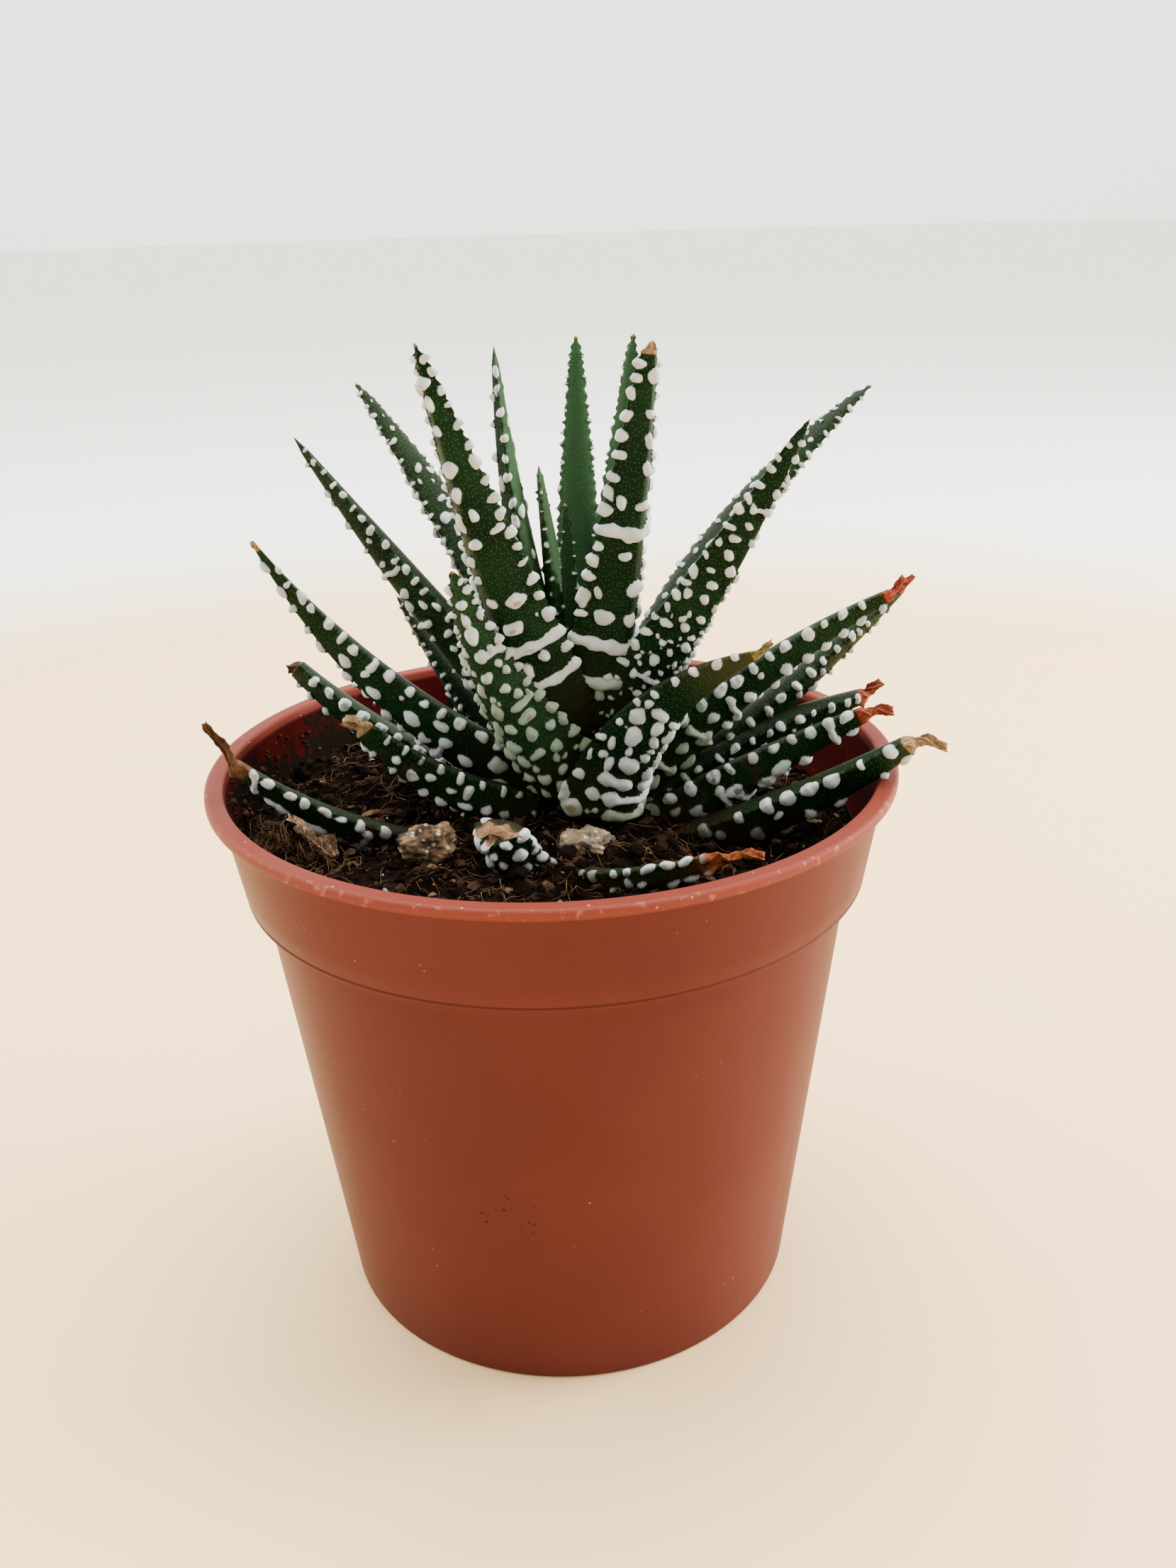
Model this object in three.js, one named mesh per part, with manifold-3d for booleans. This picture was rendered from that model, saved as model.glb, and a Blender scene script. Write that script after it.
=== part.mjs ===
// A small zebra haworthia in a plastic nursery pot, in millimetres, +Z up.
// The origin is the middle of the pot's foot, on the surface that the pot stands on.
import * as THREE from 'three';
import { mergeVertices } from 'three/addons/utils/BufferGeometryUtils.js';
import Module from 'manifold-3d';

const wasm = await Module();
wasm.setup();

// Driving dimensions
const POT = {
  height: 72, rimRadius: 42.5, lipWidth: 2.3, lipThick: 1.3, bandTopRadius: 41, bandHeight: 13.6,
  bandFootRadius: 39, bandWall: 1.2, neckRadius: 37.1, wall: 1.1, footRadius: 30.2, floor: 1.3,
  footRing: 5.6, footRise: 1.4, padRadius: 8, edge: 0.6, stepLow: 1, stepHigh: 3, sides: 46,
};
const DRAIN = { count: 6, circle: 16, radius: 3, sides: 12 };
const SOIL = {
  level: 63.6, mound: 2.4, moundX: 0, moundY: -8, moundSpread: 15, dip: 2.4, dipStart: 12, dipEnd: 34,
  relief: 0.7, rings: 6, sides: 32, seed: 11,
};
const STEM = { x: 4, y: 1, foot: 56, top: 77.5, footRadius: 2.6, radius: 3.4, crownRadius: 2.2, sides: 10 };
const ROOTS = { count: 5, length: 27, drop: 30, thick: 1.5, thin: 0.8, steps: 4, sides: 6, seed: 5 };
const CLEAR = 0.3;

// Each leaf: root and tip are [azimuth in degrees, distance from the stem's axis, height]. bend lifts the
// middle to the inner side, sway moves it sideways and roll turns the leaf about its own length. dry is
// the withered end: [length, azimuth, rise in degrees, width]. Studs are the white tubercles: their row
// pitch, size, and the share that merges.
const LEAVES = [
  { name: 'leaf_01', root: [-60, 0.6, 78.6], tip: [-135, 2, 103], width: 4,
    bend: -0.8, pitch: 4.5, stud: 0.5, merge: 0 },
  { name: 'leaf_02', root: [160, 1.2, 78.4], tip: [160, 4.6, 107], width: 5.6,
    bend: -0.2, pitch: 4.2, stud: 0.6, merge: 0 },
  { name: 'leaf_03', root: [170, 3.4, 78], tip: [170, 9, 120.6], width: 7.2,
    bend: -1, pitch: 3.9, stud: 0.85, merge: 0 },
  { name: 'leaf_04', root: [55, 3.6, 76.5], tip: [55, 13.4, 120.6], width: 8,
    bend: -0.6, pitch: 4, stud: 0.8, merge: 0.1 },
  { name: 'leaf_05', root: [91, 4.6, 76], tip: [87, 18, 120], width: 7.4,
    bend: 0.6, pitch: 4, stud: 0.7, merge: 0.1 },
  { name: 'leaf_06', root: [-60, 3.2, 77.5], tip: [-54, 13.7, 121], width: 10.2,
    bend: -0.4, pitch: 4.8, stud: 1.15, merge: 0.55, blunt: 0.2, dry: [1, 30, 70, 1.8] },
  { name: 'leaf_07', root: [-130, 5, 76], tip: [-130, 25, 123], width: 11, roll: -12,
    bend: -0.8, sway: 0.4, pitch: 4.2, stud: 1.1, merge: 0.4 },
  { name: 'leaf_08', root: [148, 5, 76.5], tip: [148, 31.4, 115.4], width: 10, roll: 6,
    bend: 1.2, sway: -0.2, pitch: 3.9, stud: 0.9, merge: 0.15 },
  { name: 'leaf_09', root: [172, 5, 73], tip: [172, 33.2, 110.8], width: 9.8, roll: -20,
    bend: -0.4, sway: 0.2, pitch: 3.6, stud: 0.85, merge: 0.1 },
  { name: 'leaf_10', root: [-28, 3.6, 75], tip: [-28, 28, 113.6], width: 11.6, roll: 18,
    bend: -0.6, pitch: 3.7, stud: 0.9, merge: 0.15 },
  { name: 'leaf_11', root: [25, 6, 70.5], tip: [25, 42, 113], width: 11, roll: -12,
    bend: 4.2, sway: 0.6, pitch: 3.8, stud: 0.85, merge: 0.15 },
  { name: 'leaf_12', root: [184, 6, 67.5], tip: [184, 37.4, 99.4], width: 10.8, roll: -24,
    bend: -2.9, sway: 0.2, pitch: 3.8, stud: 0.95, merge: 0.15, dry: [1.2, 186, 60, 0.8] },
  { name: 'leaf_13', root: [-115, 6.6, 70.5], tip: [-132, 21, 99], width: 10, roll: -30,
    bend: -1.2, sway: -0.8, pitch: 2.9, stud: 1.1, merge: 0.3 },
  { name: 'leaf_14', root: [-68, 7.4, 67.5], tip: [-36, 24, 88], width: 13.2, roll: 14,
    bend: 3, sway: -1.6, pitch: 3, stud: 1.15, merge: 0.6, blunt: 0.12, dry: [2.6, -20, 50, 1.4] },
  { name: 'leaf_15', root: [-6, 7, 67.4], tip: [-6, 37, 91.6], width: 9, roll: 24,
    bend: 1.8, sway: 0.2, pitch: 3.8, stud: 1, merge: 0.25, blunt: 0.24, dry: [2.8, -8, 62, 1.5] },
  { name: 'leaf_16', root: [8, 7, 63.5], tip: [8, 41, 89.6], width: 9, roll: 10,
    bend: -1, sway: 0.2, pitch: 3.8, stud: 0.95, merge: 0.2, blunt: 0.16, dry: [2.4, 4, 55, 1.3] },
  { name: 'leaf_17', root: [158, 7, 65], tip: [158, 24.6, 90], width: 8,
    bend: -0.4, pitch: 3.8, stud: 0.85, merge: 0.1 },
  { name: 'leaf_18', root: [163, 8, 63.5], tip: [163, 38.4, 80.4], width: 8.6, roll: -28,
    bend: -2, sway: 0.2, pitch: 3.8, stud: 0.95, merge: 0.15, blunt: 0.42, dry: [1.4, 170, 10, 3] },
  { name: 'leaf_19', root: [142, 8, 63], tip: [148, 36, 76.2], width: 7.6,
    bend: -0.6, pitch: 3.8, stud: 0.85, merge: 0.1, blunt: 0.3, dry: [1.4, 150, 10, 1.6] },
  { name: 'leaf_20', root: [-155, 8, 65.2], tip: [-165, 27.4, 78.3], width: 8.6, roll: -26,
    bend: -1.6, pitch: 3.2, stud: 1, merge: 0.25, blunt: 0.4, dry: [2.6, 178, 35, 2.6] },
  { name: 'leaf_21', root: [0, 8, 64], tip: [2, 35.4, 77.2], width: 8.6, roll: 10,
    bend: 1.4, pitch: 3.6, stud: 0.9, merge: 0.15, blunt: 0.34, dry: [3, 6, 44, 2] },
  { name: 'leaf_22', root: [-22, 9, 62.2], tip: [-12, 34.4, 77.8], width: 9, roll: 30,
    bend: 0.4, pitch: 3.4, stud: 1.1, merge: 0.5, blunt: 0.32, dry: [3.6, -14, 16, 2.4] },
  { name: 'leaf_23', root: [-38, 9, 58.8], tip: [-20, 40, 76.2], width: 10.2, roll: 16,
    bend: -1.2, sway: 0.6, pitch: 3.4, stud: 1.05, merge: 0.25, blunt: 0.36, dry: [4.4, -12, 4, 2.2] },
  { name: 'leaf_24', root: [-150, 9, 60], tip: [-165, 42.6, 75.8], width: 7.2, roll: -18,
    bend: -3.2, sway: 0.4, pitch: 3.6, stud: 0.95, merge: 0.15, blunt: 0.36, dry: [6.2, 168, 66, 1.8] },
  { name: 'leaf_25', root: [-104, 9, 60], tip: [-118, 23, 70], width: 9,
    bend: -2.6, pitch: 2.3, stud: 1.05, merge: 0.4, blunt: 0.76, dry: [1, -112, 30, 3.4] },
  { name: 'leaf_26', root: [-92, 10, 60.5], tip: [-61, 29, 68], width: 6.4, roll: 24,
    bend: -0.6, sway: -7, pitch: 2.6, stud: 0.95, merge: 0.2, blunt: 0.4, dry: [5.2, -16, 16, 2.2] },
];
const LEAF = {
  taper: 1.35, thick: 0.46, crown: 0.06, settle: 0.42, keelShape: 1.5, tipWidth: 0.9,
  lowerSides: 6, upperSides: 4, step: 2.5, leastRings: 8, dryRings: 3, dryThick: 0.36,
  studRise: 0.62, baseBare: 0.16, tipBare: 0.05,
};

// Perlite grains [x, y, height, size], and the scrap of an old leaf lying on the soil
const PERLITE = [[-15, -11, 65.3, 3.6], [-7, 7.5, 65.2, 2.9], [3.4, -13.6, 65.6, 3.1]];
const SCRAP = {
  from: [-33, 0, 65.1], over: [-30.4, -6, 67.3], to: [-26.4, -13, 64.9], width: 4.6, thick: 0.9, steps: 6,
};

const COLOURS = {
  pot: { color: 0xb5563c, roughness: 0.45, metalness: 0 },
  soil: { color: 0x2b1d15, roughness: 0.95, metalness: 0 },
  stem: { color: 0x7d6a4a, roughness: 0.8, metalness: 0 },
  leaf: { color: 0x2f5a30, roughness: 0.42, metalness: 0 },
  perlite: { color: 0xd8c8a8, roughness: 0.9, metalness: 0 },
  scrap: { color: 0x8a6b45, roughness: 0.85, metalness: 0 },
};

const radians = THREE.MathUtils.degToRad;
const clamp = THREE.MathUtils.clamp;

function seededRandom(seed) {
  let state = seed >>> 0;
  return () => {
    state = (state + 0x6d2b79f5) >>> 0;
    let mix = Math.imul(state ^ (state >>> 15), state | 1);
    mix ^= mix + Math.imul(mix ^ (mix >>> 7), mix | 61);
    return ((mix ^ (mix >>> 14)) >>> 0) / 4294967296;
  };
}

// Solids
function solidFrom(geometry) {
  const bare = geometry.clone();
  bare.deleteAttribute('normal');
  bare.deleteAttribute('uv');
  const merged = mergeVertices(bare, 1e-4);
  const vertProperties = new Float32Array(merged.attributes.position.array);
  const triVerts = new Uint32Array(merged.index.array);
  return new wasm.Manifold(new wasm.Mesh({ numProp: 3, vertProperties, triVerts }));
}

function largestBody(solid) {
  const bodies = solid.decompose();
  return bodies.reduce((best, body) => (body.volume() > best.volume() ? body : best));
}

function geometryFrom(solid) {
  const mesh = solid.getMesh();
  const geometry = new THREE.BufferGeometry();
  geometry.setAttribute('position', new THREE.BufferAttribute(new Float32Array(mesh.vertProperties), 3));
  geometry.setIndex(new THREE.BufferAttribute(new Uint32Array(mesh.triVerts), 1));
  geometry.computeVertexNormals();
  return geometry;
}

// A closed skin over rings of points. Each ring runs clockwise as seen from the last ring.
function skin(rings, first, last) {
  const points = [...rings.flat(), first, last];
  const around = rings[0].length;
  const firstCap = rings.length * around;
  const faces = [];
  for (let i = 0; i < rings.length - 1; i++) {
    for (let k = 0; k < around; k++) {
      const a = i * around + k;
      const b = i * around + ((k + 1) % around);
      faces.push(a, a + around, b, a + around, b + around, b);
    }
  }
  const end = (rings.length - 1) * around;
  for (let k = 0; k < around; k++) {
    const next = (k + 1) % around;
    faces.push(firstCap, k, next, firstCap + 1, end + next, end + k);
  }
  const geometry = new THREE.BufferGeometry();
  geometry.setAttribute('position', new THREE.Float32BufferAttribute(points.flatMap((p) => p.toArray()), 3));
  geometry.setIndex(faces);
  return geometry;
}

// Pot
const BAND_FOOT = POT.height - POT.bandHeight;
const STEP_LOW = BAND_FOOT + POT.stepLow;
const STEP_HIGH = BAND_FOOT + POT.stepHigh;

function potInnerRadius(z) {
  const lipInner = POT.rimRadius - POT.lipWidth;
  const bandInner = POT.bandFootRadius - POT.bandWall;
  const bandRadius = (height) => bandInner + ((lipInner - bandInner) * (height - BAND_FOOT)) / POT.bandHeight;
  if (z <= STEP_LOW) return bodyRadius(z) - POT.wall;
  if (z >= STEP_HIGH) return bandRadius(z);
  const low = bodyRadius(STEP_LOW) - POT.wall;
  return low + ((bandRadius(STEP_HIGH) - low) * (z - STEP_LOW)) / (STEP_HIGH - STEP_LOW);
}

function bodyRadius(z) {
  return POT.footRadius + ((POT.neckRadius - POT.footRadius) * z) / BAND_FOOT;
}

function potGeometry() {
  const { height, rimRadius, bandFootRadius, footRadius, edge, footRing, footRise, padRadius, floor } = POT;
  const ringInner = footRadius - footRing;
  const floorTop = footRise + floor;
  const lipFoot = height - POT.lipThick;
  const lipEdge = edge / 2;
  const profile = [
    [0, 0], [padRadius, 0], [padRadius + edge, footRise], [ringInner - edge, footRise], [ringInner, 0],
    [footRadius - edge, 0], [bodyRadius(edge), edge], [bodyRadius(BAND_FOOT), BAND_FOOT],
    [bandFootRadius - edge, BAND_FOOT], [bandFootRadius, BAND_FOOT + edge],
    [POT.bandTopRadius, lipFoot - lipEdge], [rimRadius - lipEdge, lipFoot], [rimRadius, lipFoot + lipEdge],
    [rimRadius, height - lipEdge], [rimRadius - lipEdge, height],
    [rimRadius - POT.lipWidth + lipEdge, height], [rimRadius - POT.lipWidth, height - lipEdge],
    [potInnerRadius(STEP_HIGH), STEP_HIGH],
    [potInnerRadius(STEP_LOW), STEP_LOW], [potInnerRadius(floorTop), floorTop], [0, floorTop],
  ];
  const points = profile.map(([radius, z]) => new THREE.Vector2(radius, z));
  const lathe = new THREE.LatheGeometry(points, POT.sides).rotateX(Math.PI / 2);
  let pot = solidFrom(lathe);
  for (let i = 0; i < DRAIN.count; i++) {
    const angle = (2 * Math.PI * (i + 0.5)) / DRAIN.count;
    const hole = new THREE.CylinderGeometry(DRAIN.radius, DRAIN.radius, 4 * floorTop, DRAIN.sides);
    hole.rotateX(Math.PI / 2);
    hole.translate(DRAIN.circle * Math.cos(angle), DRAIN.circle * Math.sin(angle), 0);
    pot = pot.subtract(solidFrom(hole));
  }
  return geometryFrom(pot);
}

// Leaves
function polarPoint([azimuth, distance, z]) {
  const angle = radians(azimuth);
  return new THREE.Vector3(STEM.x + distance * Math.cos(angle), STEM.y + distance * Math.sin(angle), z);
}

function leafFrame(leaf, s) {
  const root = polarPoint(leaf.root);
  const tip = polarPoint(leaf.tip);
  const run = tip.clone().sub(root);
  const along = run.clone().normalize();
  const azimuth = radians(leaf.tip[0]);
  const side = new THREE.Vector3(-Math.sin(azimuth), Math.cos(azimuth), 0);
  side.addScaledVector(along, -side.dot(along)).normalize();
  const inner = along.clone().cross(side);
  const bow = inner.multiplyScalar(leaf.bend).addScaledVector(side, leaf.sway ?? 0);
  const point = root.clone().addScaledVector(run, s).addScaledVector(bow, 4 * s * (1 - s));
  const tangent = run.clone().addScaledVector(bow, 4 * (1 - 2 * s)).normalize();
  const across = side.clone().addScaledVector(tangent, -side.dot(tangent)).normalize();
  across.applyAxisAngle(tangent, -radians(leaf.roll ?? 0));
  return { point, tangent, across, inner: tangent.clone().cross(across) };
}

function leafWidth(leaf, s) {
  const end = Math.max(leaf.blunt ?? 0, LEAF.tipWidth / leaf.width);
  return leaf.width * (1 - (1 - end) * s ** LEAF.taper);
}

function leafLength(leaf) {
  return polarPoint(leaf.root).distanceTo(polarPoint(leaf.tip));
}

// The tubercles in rows on the outer face: place along the leaf and across it (-1 to 1 from margin to
// margin), their half reach across and their rise.
function leafStuds(leaf, seed) {
  const random = seededRandom(seed);
  const length = leafLength(leaf);
  const studs = [];
  let place = length * LEAF.baseBare;
  while (place < length * (1 - LEAF.tipBare)) {
    const s = place / length;
    const wide = leafWidth(leaf, s);
    const count = clamp(Math.round(wide / 1.9), 3, 5);
    const slope = (random() - 0.5) * 0.5;
    for (let k = 0; k < count; k++) {
      const across = -1 + (2 * k) / (count - 1);
      const margin = k === 0 || k === count - 1;
      const skip = random() < (margin ? 0.06 : 0.3);
      const merged = random() < leaf.merge && k < count - 1;
      const size = leaf.stud * (0.75 + 0.45 * random()) * (0.62 + 0.38 * (wide / leaf.width));
      const shift = (slope * across + (random() - 0.5) * 0.35) * leaf.pitch;
      if (skip && !merged) continue;
      const reach = merged ? 1 / (count - 1) : 0;
      const rise = LEAF.studRise * Math.min(1, size);
      studs.push({ s: s + shift / length, across: across + reach, reach, rise });
    }
    place += leaf.pitch * (0.86 + 0.28 * random());
  }
  return studs;
}

function leafSection(wide, grow) {
  const half = wide / 2 + grow;
  const settle = wide * LEAF.thick * LEAF.settle;
  const deep = wide * LEAF.thick + grow;
  const high = wide * LEAF.crown + grow + settle;
  const section = [];
  for (let k = 0; k <= LEAF.lowerSides; k++) {
    const across = Math.cos((Math.PI * k) / LEAF.lowerSides);
    section.push([half * across, settle - deep * (1 - Math.abs(across) ** LEAF.keelShape)]);
  }
  for (let k = 1; k < LEAF.upperSides; k++) {
    const across = -Math.cos((Math.PI * k) / LEAF.upperSides);
    section.push([half * across, high]);
  }
  return section;
}

function leafGeometry(leaf, seed, grow) {
  const length = leafLength(leaf);
  const ringCount = Math.max(LEAF.leastRings, Math.round(length / LEAF.step));
  const raised = Array.from({ length: ringCount + 1 }, () => new Array(LEAF.lowerSides + 1).fill(0));
  for (const stud of leafStuds(leaf, seed)) {
    const i = clamp(Math.round(stud.s * ringCount), 1, ringCount - 1);
    const from = Math.round(((1 - stud.across - stud.reach) / 2) * LEAF.lowerSides);
    const to = Math.round(((1 - stud.across + stud.reach) / 2) * LEAF.lowerSides);
    for (let k = clamp(from, 0, LEAF.lowerSides); k <= clamp(to, 0, LEAF.lowerSides); k++) {
      raised[i][k] = Math.max(raised[i][k], stud.rise);
    }
  }
  const rings = [];
  for (let i = 0; i <= ringCount; i++) {
    const s = i / ringCount;
    const { point, tangent, across, inner } = leafFrame(leaf, s);
    const wide = leafWidth(leaf, s);
    const centre = point.clone().addScaledVector(tangent, i === 0 ? -grow : 0);
    rings.push(leafSection(wide, grow).map(([x, z], k) => {
      const rise = raised[i][k] ?? 0;
      const tilt = Math.PI * Math.min(k / LEAF.lowerSides, 1);
      return centre.clone()
        .addScaledVector(across, x + rise * Math.cos(tilt))
        .addScaledVector(inner, z - rise * Math.max(Math.sin(tilt), 0.2));
    }));
  }
  const last = leafFrame(leaf, 1);
  let tipPoint = last.point.clone().addScaledVector(last.tangent, 0.4 + grow);
  if (leaf.dry) {
    const [dryLength, azimuth, rise, dryWidth] = leaf.dry;
    const heading = new THREE.Vector3(
      Math.cos(radians(azimuth)) * Math.cos(radians(rise)),
      Math.sin(radians(azimuth)) * Math.cos(radians(rise)),
      Math.sin(radians(rise)),
    );
    for (let i = 1; i <= LEAF.dryRings; i++) {
      const share = i / LEAF.dryRings;
      const turned = last.tangent.clone().lerp(heading, Math.sqrt(share)).normalize();
      const centre = last.point.clone().addScaledVector(turned, dryLength * share);
      const across = last.across.clone().addScaledVector(turned, -last.across.dot(turned)).normalize();
      const inner = turned.clone().cross(across);
      const wide = dryWidth * (1 - 0.45 * share);
      const thick = Math.max(wide * LEAF.dryThick, 0.7);
      const around = leafSection(1, 0);
      rings.push(around.map((entry, k) => {
        const angle = (-2 * Math.PI * k) / around.length;
        return centre.clone()
          .addScaledVector(across, (wide / 2 + grow) * Math.cos(angle))
          .addScaledVector(inner, (thick / 2 + grow) * Math.sin(angle));
      }));
      tipPoint = centre.clone().addScaledVector(turned, 0.4 + grow);
    }
  }
  const first = leafFrame(leaf, 0);
  const basePoint = first.point.clone().addScaledVector(first.tangent, -0.6 - grow);
  return skin(rings, basePoint, tipPoint);
}

// Stem and roots, one grown piece
function tube(path, radii, sides) {
  const rings = path.map((centre, i) => {
    const before = path[Math.max(i - 1, 0)];
    const after = path[Math.min(i + 1, path.length - 1)];
    const along = after.clone().sub(before).normalize();
    const helper = Math.abs(along.z) > 0.9 ? new THREE.Vector3(1, 0, 0) : new THREE.Vector3(0, 0, 1);
    const across = helper.clone().cross(along).normalize();
    const other = along.clone().cross(across);
    return Array.from({ length: sides }, (_, k) => {
      const angle = (-2 * Math.PI * k) / sides;
      return centre.clone()
        .addScaledVector(across, radii[i] * Math.cos(angle))
        .addScaledVector(other, radii[i] * Math.sin(angle));
    });
  });
  return skin(rings, path[0].clone(), path[path.length - 1].clone());
}

function stemSolid(grow) {
  const heights = [STEM.foot - grow, STEM.foot + 4, STEM.top - 3, STEM.top + grow];
  const radii = [STEM.footRadius, STEM.radius, STEM.radius, STEM.crownRadius].map((radius) => radius + grow);
  const column = heights.map((z) => new THREE.Vector3(STEM.x, STEM.y, z));
  let solid = solidFrom(tube(column, radii, STEM.sides));
  const random = seededRandom(ROOTS.seed);
  for (let i = 0; i < ROOTS.count; i++) {
    const azimuth = (2 * Math.PI * (i + 0.4 * random())) / ROOTS.count;
    const length = ROOTS.length * (0.8 + 0.2 * random());
    const drop = ROOTS.drop * (0.75 + 0.4 * random());
    const path = [];
    const thickness = [];
    for (let j = 0; j <= ROOTS.steps; j++) {
      const share = j / ROOTS.steps;
      const out = 0.8 + length * Math.sin((share * Math.PI) / 2) * 0.9;
      const turn = azimuth + 0.35 * Math.sin(3 * share + i);
      path.push(new THREE.Vector3(
        STEM.x * (1 - share) + out * Math.cos(turn),
        STEM.y * (1 - share) + out * Math.sin(turn),
        STEM.foot + 2.4 - drop * share ** 1.4,
      ));
      thickness.push(ROOTS.thick + (ROOTS.thin - ROOTS.thick) * share + grow);
    }
    solid = solid.add(solidFrom(tube(path, thickness, ROOTS.sides)));
  }
  return solid;
}

// Soil
function soilHeight(x, y) {
  const away = Math.hypot(x - SOIL.moundX, y - SOIL.moundY) / SOIL.moundSpread;
  const dip = THREE.MathUtils.smoothstep(x, SOIL.dipStart, SOIL.dipEnd);
  return SOIL.level + SOIL.mound * Math.exp(-away * away) - SOIL.dip * dip;
}

function soilSolid() {
  const random = seededRandom(SOIL.seed);
  const floorTop = POT.footRise + POT.floor + CLEAR;
  const step = (-2 * Math.PI) / SOIL.sides;
  const ring = (place) => Array.from({ length: SOIL.sides }, (_, k) => place(step * k));
  const wallRing = (z) => ring((angle) => {
    const radius = potInnerRadius(z) - 2 * CLEAR;
    return new THREE.Vector3(radius * Math.cos(angle), radius * Math.sin(angle), z);
  });
  const topRing = (share) => ring((angle) => {
    const wall = POT.bandFootRadius;
    const low = soilHeight(wall * Math.cos(angle), wall * Math.sin(angle)) - SOIL.relief;
    const radius = share * (potInnerRadius(low) - 2 * CLEAR);
    const x = radius * Math.cos(angle);
    const y = radius * Math.sin(angle);
    return new THREE.Vector3(x, y, soilHeight(x, y) + SOIL.relief * (2 * random() - 1));
  });
  const rings = [wallRing(floorTop), wallRing(STEP_LOW)];
  for (let i = SOIL.rings; i > 0; i--) rings.push(topRing(i / SOIL.rings));
  const first = new THREE.Vector3(0, 0, floorTop);
  const last = new THREE.Vector3(0, 0, soilHeight(0, 0));
  return solidFrom(skin(rings, first, last));
}

// Small things on the soil
function perliteSolid([x, y, z, size], seed, grow) {
  const random = seededRandom(seed);
  const ball = new THREE.IcosahedronGeometry(1, 1).deleteAttribute('normal').deleteAttribute('uv');
  const grain = mergeVertices(ball);
  const place = grain.attributes.position;
  const point = new THREE.Vector3();
  for (let i = 0; i < place.count; i++) {
    point.fromBufferAttribute(place, i);
    point.multiplyScalar(size * (0.8 + 0.4 * random()) + grow);
    place.setXYZ(i, x + point.x, y + 0.8 * point.y, z + 0.7 * point.z);
  }
  return solidFrom(grain);
}

function scrapSolid(grow) {
  const path = new THREE.QuadraticBezierCurve3(
    new THREE.Vector3(...SCRAP.from), new THREE.Vector3(...SCRAP.over), new THREE.Vector3(...SCRAP.to),
  );
  const rings = [];
  for (let i = 0; i <= SCRAP.steps; i++) {
    const share = i / SCRAP.steps;
    const centre = path.getPoint(share);
    const along = path.getTangent(share);
    const across = new THREE.Vector3(0, 0, 1).cross(along).normalize();
    const up = along.clone().cross(across);
    const half = (SCRAP.width / 2) * (0.35 + 0.65 * Math.sin(Math.PI * (0.15 + 0.7 * share))) + grow;
    const thick = SCRAP.thick / 2 + grow;
    const section = [[half, -0.8], [half * 0.5, 0.2], [0, -thick], [-half * 0.5, 0.2], [-half, -0.8],
      [-half * 0.5, thick], [0, 0.3], [half * 0.5, thick]];
    const rise = [thick, thick, 0, thick, thick, thick, thick, thick];
    rings.push(section.map(([x, z], k) => centre.clone()
      .addScaledVector(across, x)
      .addScaledVector(up, z + (k < 5 ? -rise[k] : rise[k]))));
  }
  const first = path.getPoint(0).addScaledVector(path.getTangent(0), -0.3 - grow);
  const last = path.getPoint(1).addScaledVector(path.getTangent(1), 0.3 + grow);
  return solidFrom(skin(rings, first, last));
}

// Assembly
const plant = new THREE.Group();

function place(name, geometry, finish) {
  const mesh = new THREE.Mesh(geometry, new THREE.MeshStandardMaterial(finish));
  mesh.name = name;
  plant.add(mesh);
}

place('pot', potGeometry(), COLOURS.pot);

place('stem', geometryFrom(stemSolid(0)), COLOURS.stem);
let taken = stemSolid(CLEAR);
LEAVES.forEach((leaf, index) => {
  const blade = solidFrom(leafGeometry(leaf, index + 1, 0));
  const swollen = solidFrom(leafGeometry(leaf, index + 1, CLEAR));
  place(leaf.name, geometryFrom(largestBody(blade.subtract(taken))), COLOURS.leaf);
  taken = taken.add(swollen);
});
PERLITE.forEach((grain, index) => {
  const solid = perliteSolid(grain, index + 40, 0);
  place(`perlite_${index + 1}`, geometryFrom(largestBody(solid.subtract(taken))), COLOURS.perlite);
  taken = taken.add(perliteSolid(grain, index + 40, CLEAR));
});
place('old_leaf_scrap', geometryFrom(largestBody(scrapSolid(0).subtract(taken))), COLOURS.scrap);
taken = taken.add(scrapSolid(CLEAR));
place('soil', geometryFrom(largestBody(soilSolid().subtract(taken))), COLOURS.soil);

export default plant;
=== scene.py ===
"""A small zebra haworthia in a plastic nursery pot, dressed for pictures."""
import random
from math import cos, exp, hypot, pi, radians, sin, sqrt
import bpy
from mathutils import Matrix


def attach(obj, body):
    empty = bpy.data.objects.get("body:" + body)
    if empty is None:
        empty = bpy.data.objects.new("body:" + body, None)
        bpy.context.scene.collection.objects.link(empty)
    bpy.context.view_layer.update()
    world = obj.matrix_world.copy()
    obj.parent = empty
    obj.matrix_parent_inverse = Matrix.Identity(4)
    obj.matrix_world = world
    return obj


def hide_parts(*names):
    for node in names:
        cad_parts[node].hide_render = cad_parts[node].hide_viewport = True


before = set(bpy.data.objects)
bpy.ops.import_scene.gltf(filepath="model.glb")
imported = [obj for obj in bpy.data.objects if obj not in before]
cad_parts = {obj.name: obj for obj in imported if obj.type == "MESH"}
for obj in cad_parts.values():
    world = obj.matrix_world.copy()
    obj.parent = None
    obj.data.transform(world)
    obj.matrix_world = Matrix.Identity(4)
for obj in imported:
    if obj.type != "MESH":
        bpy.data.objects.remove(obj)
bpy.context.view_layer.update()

from types import SimpleNamespace

import bmesh
import bpy
import numpy as np
from mathutils import Matrix, Vector, noise

MM = 0.001
SEAM = 1e-6

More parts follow.
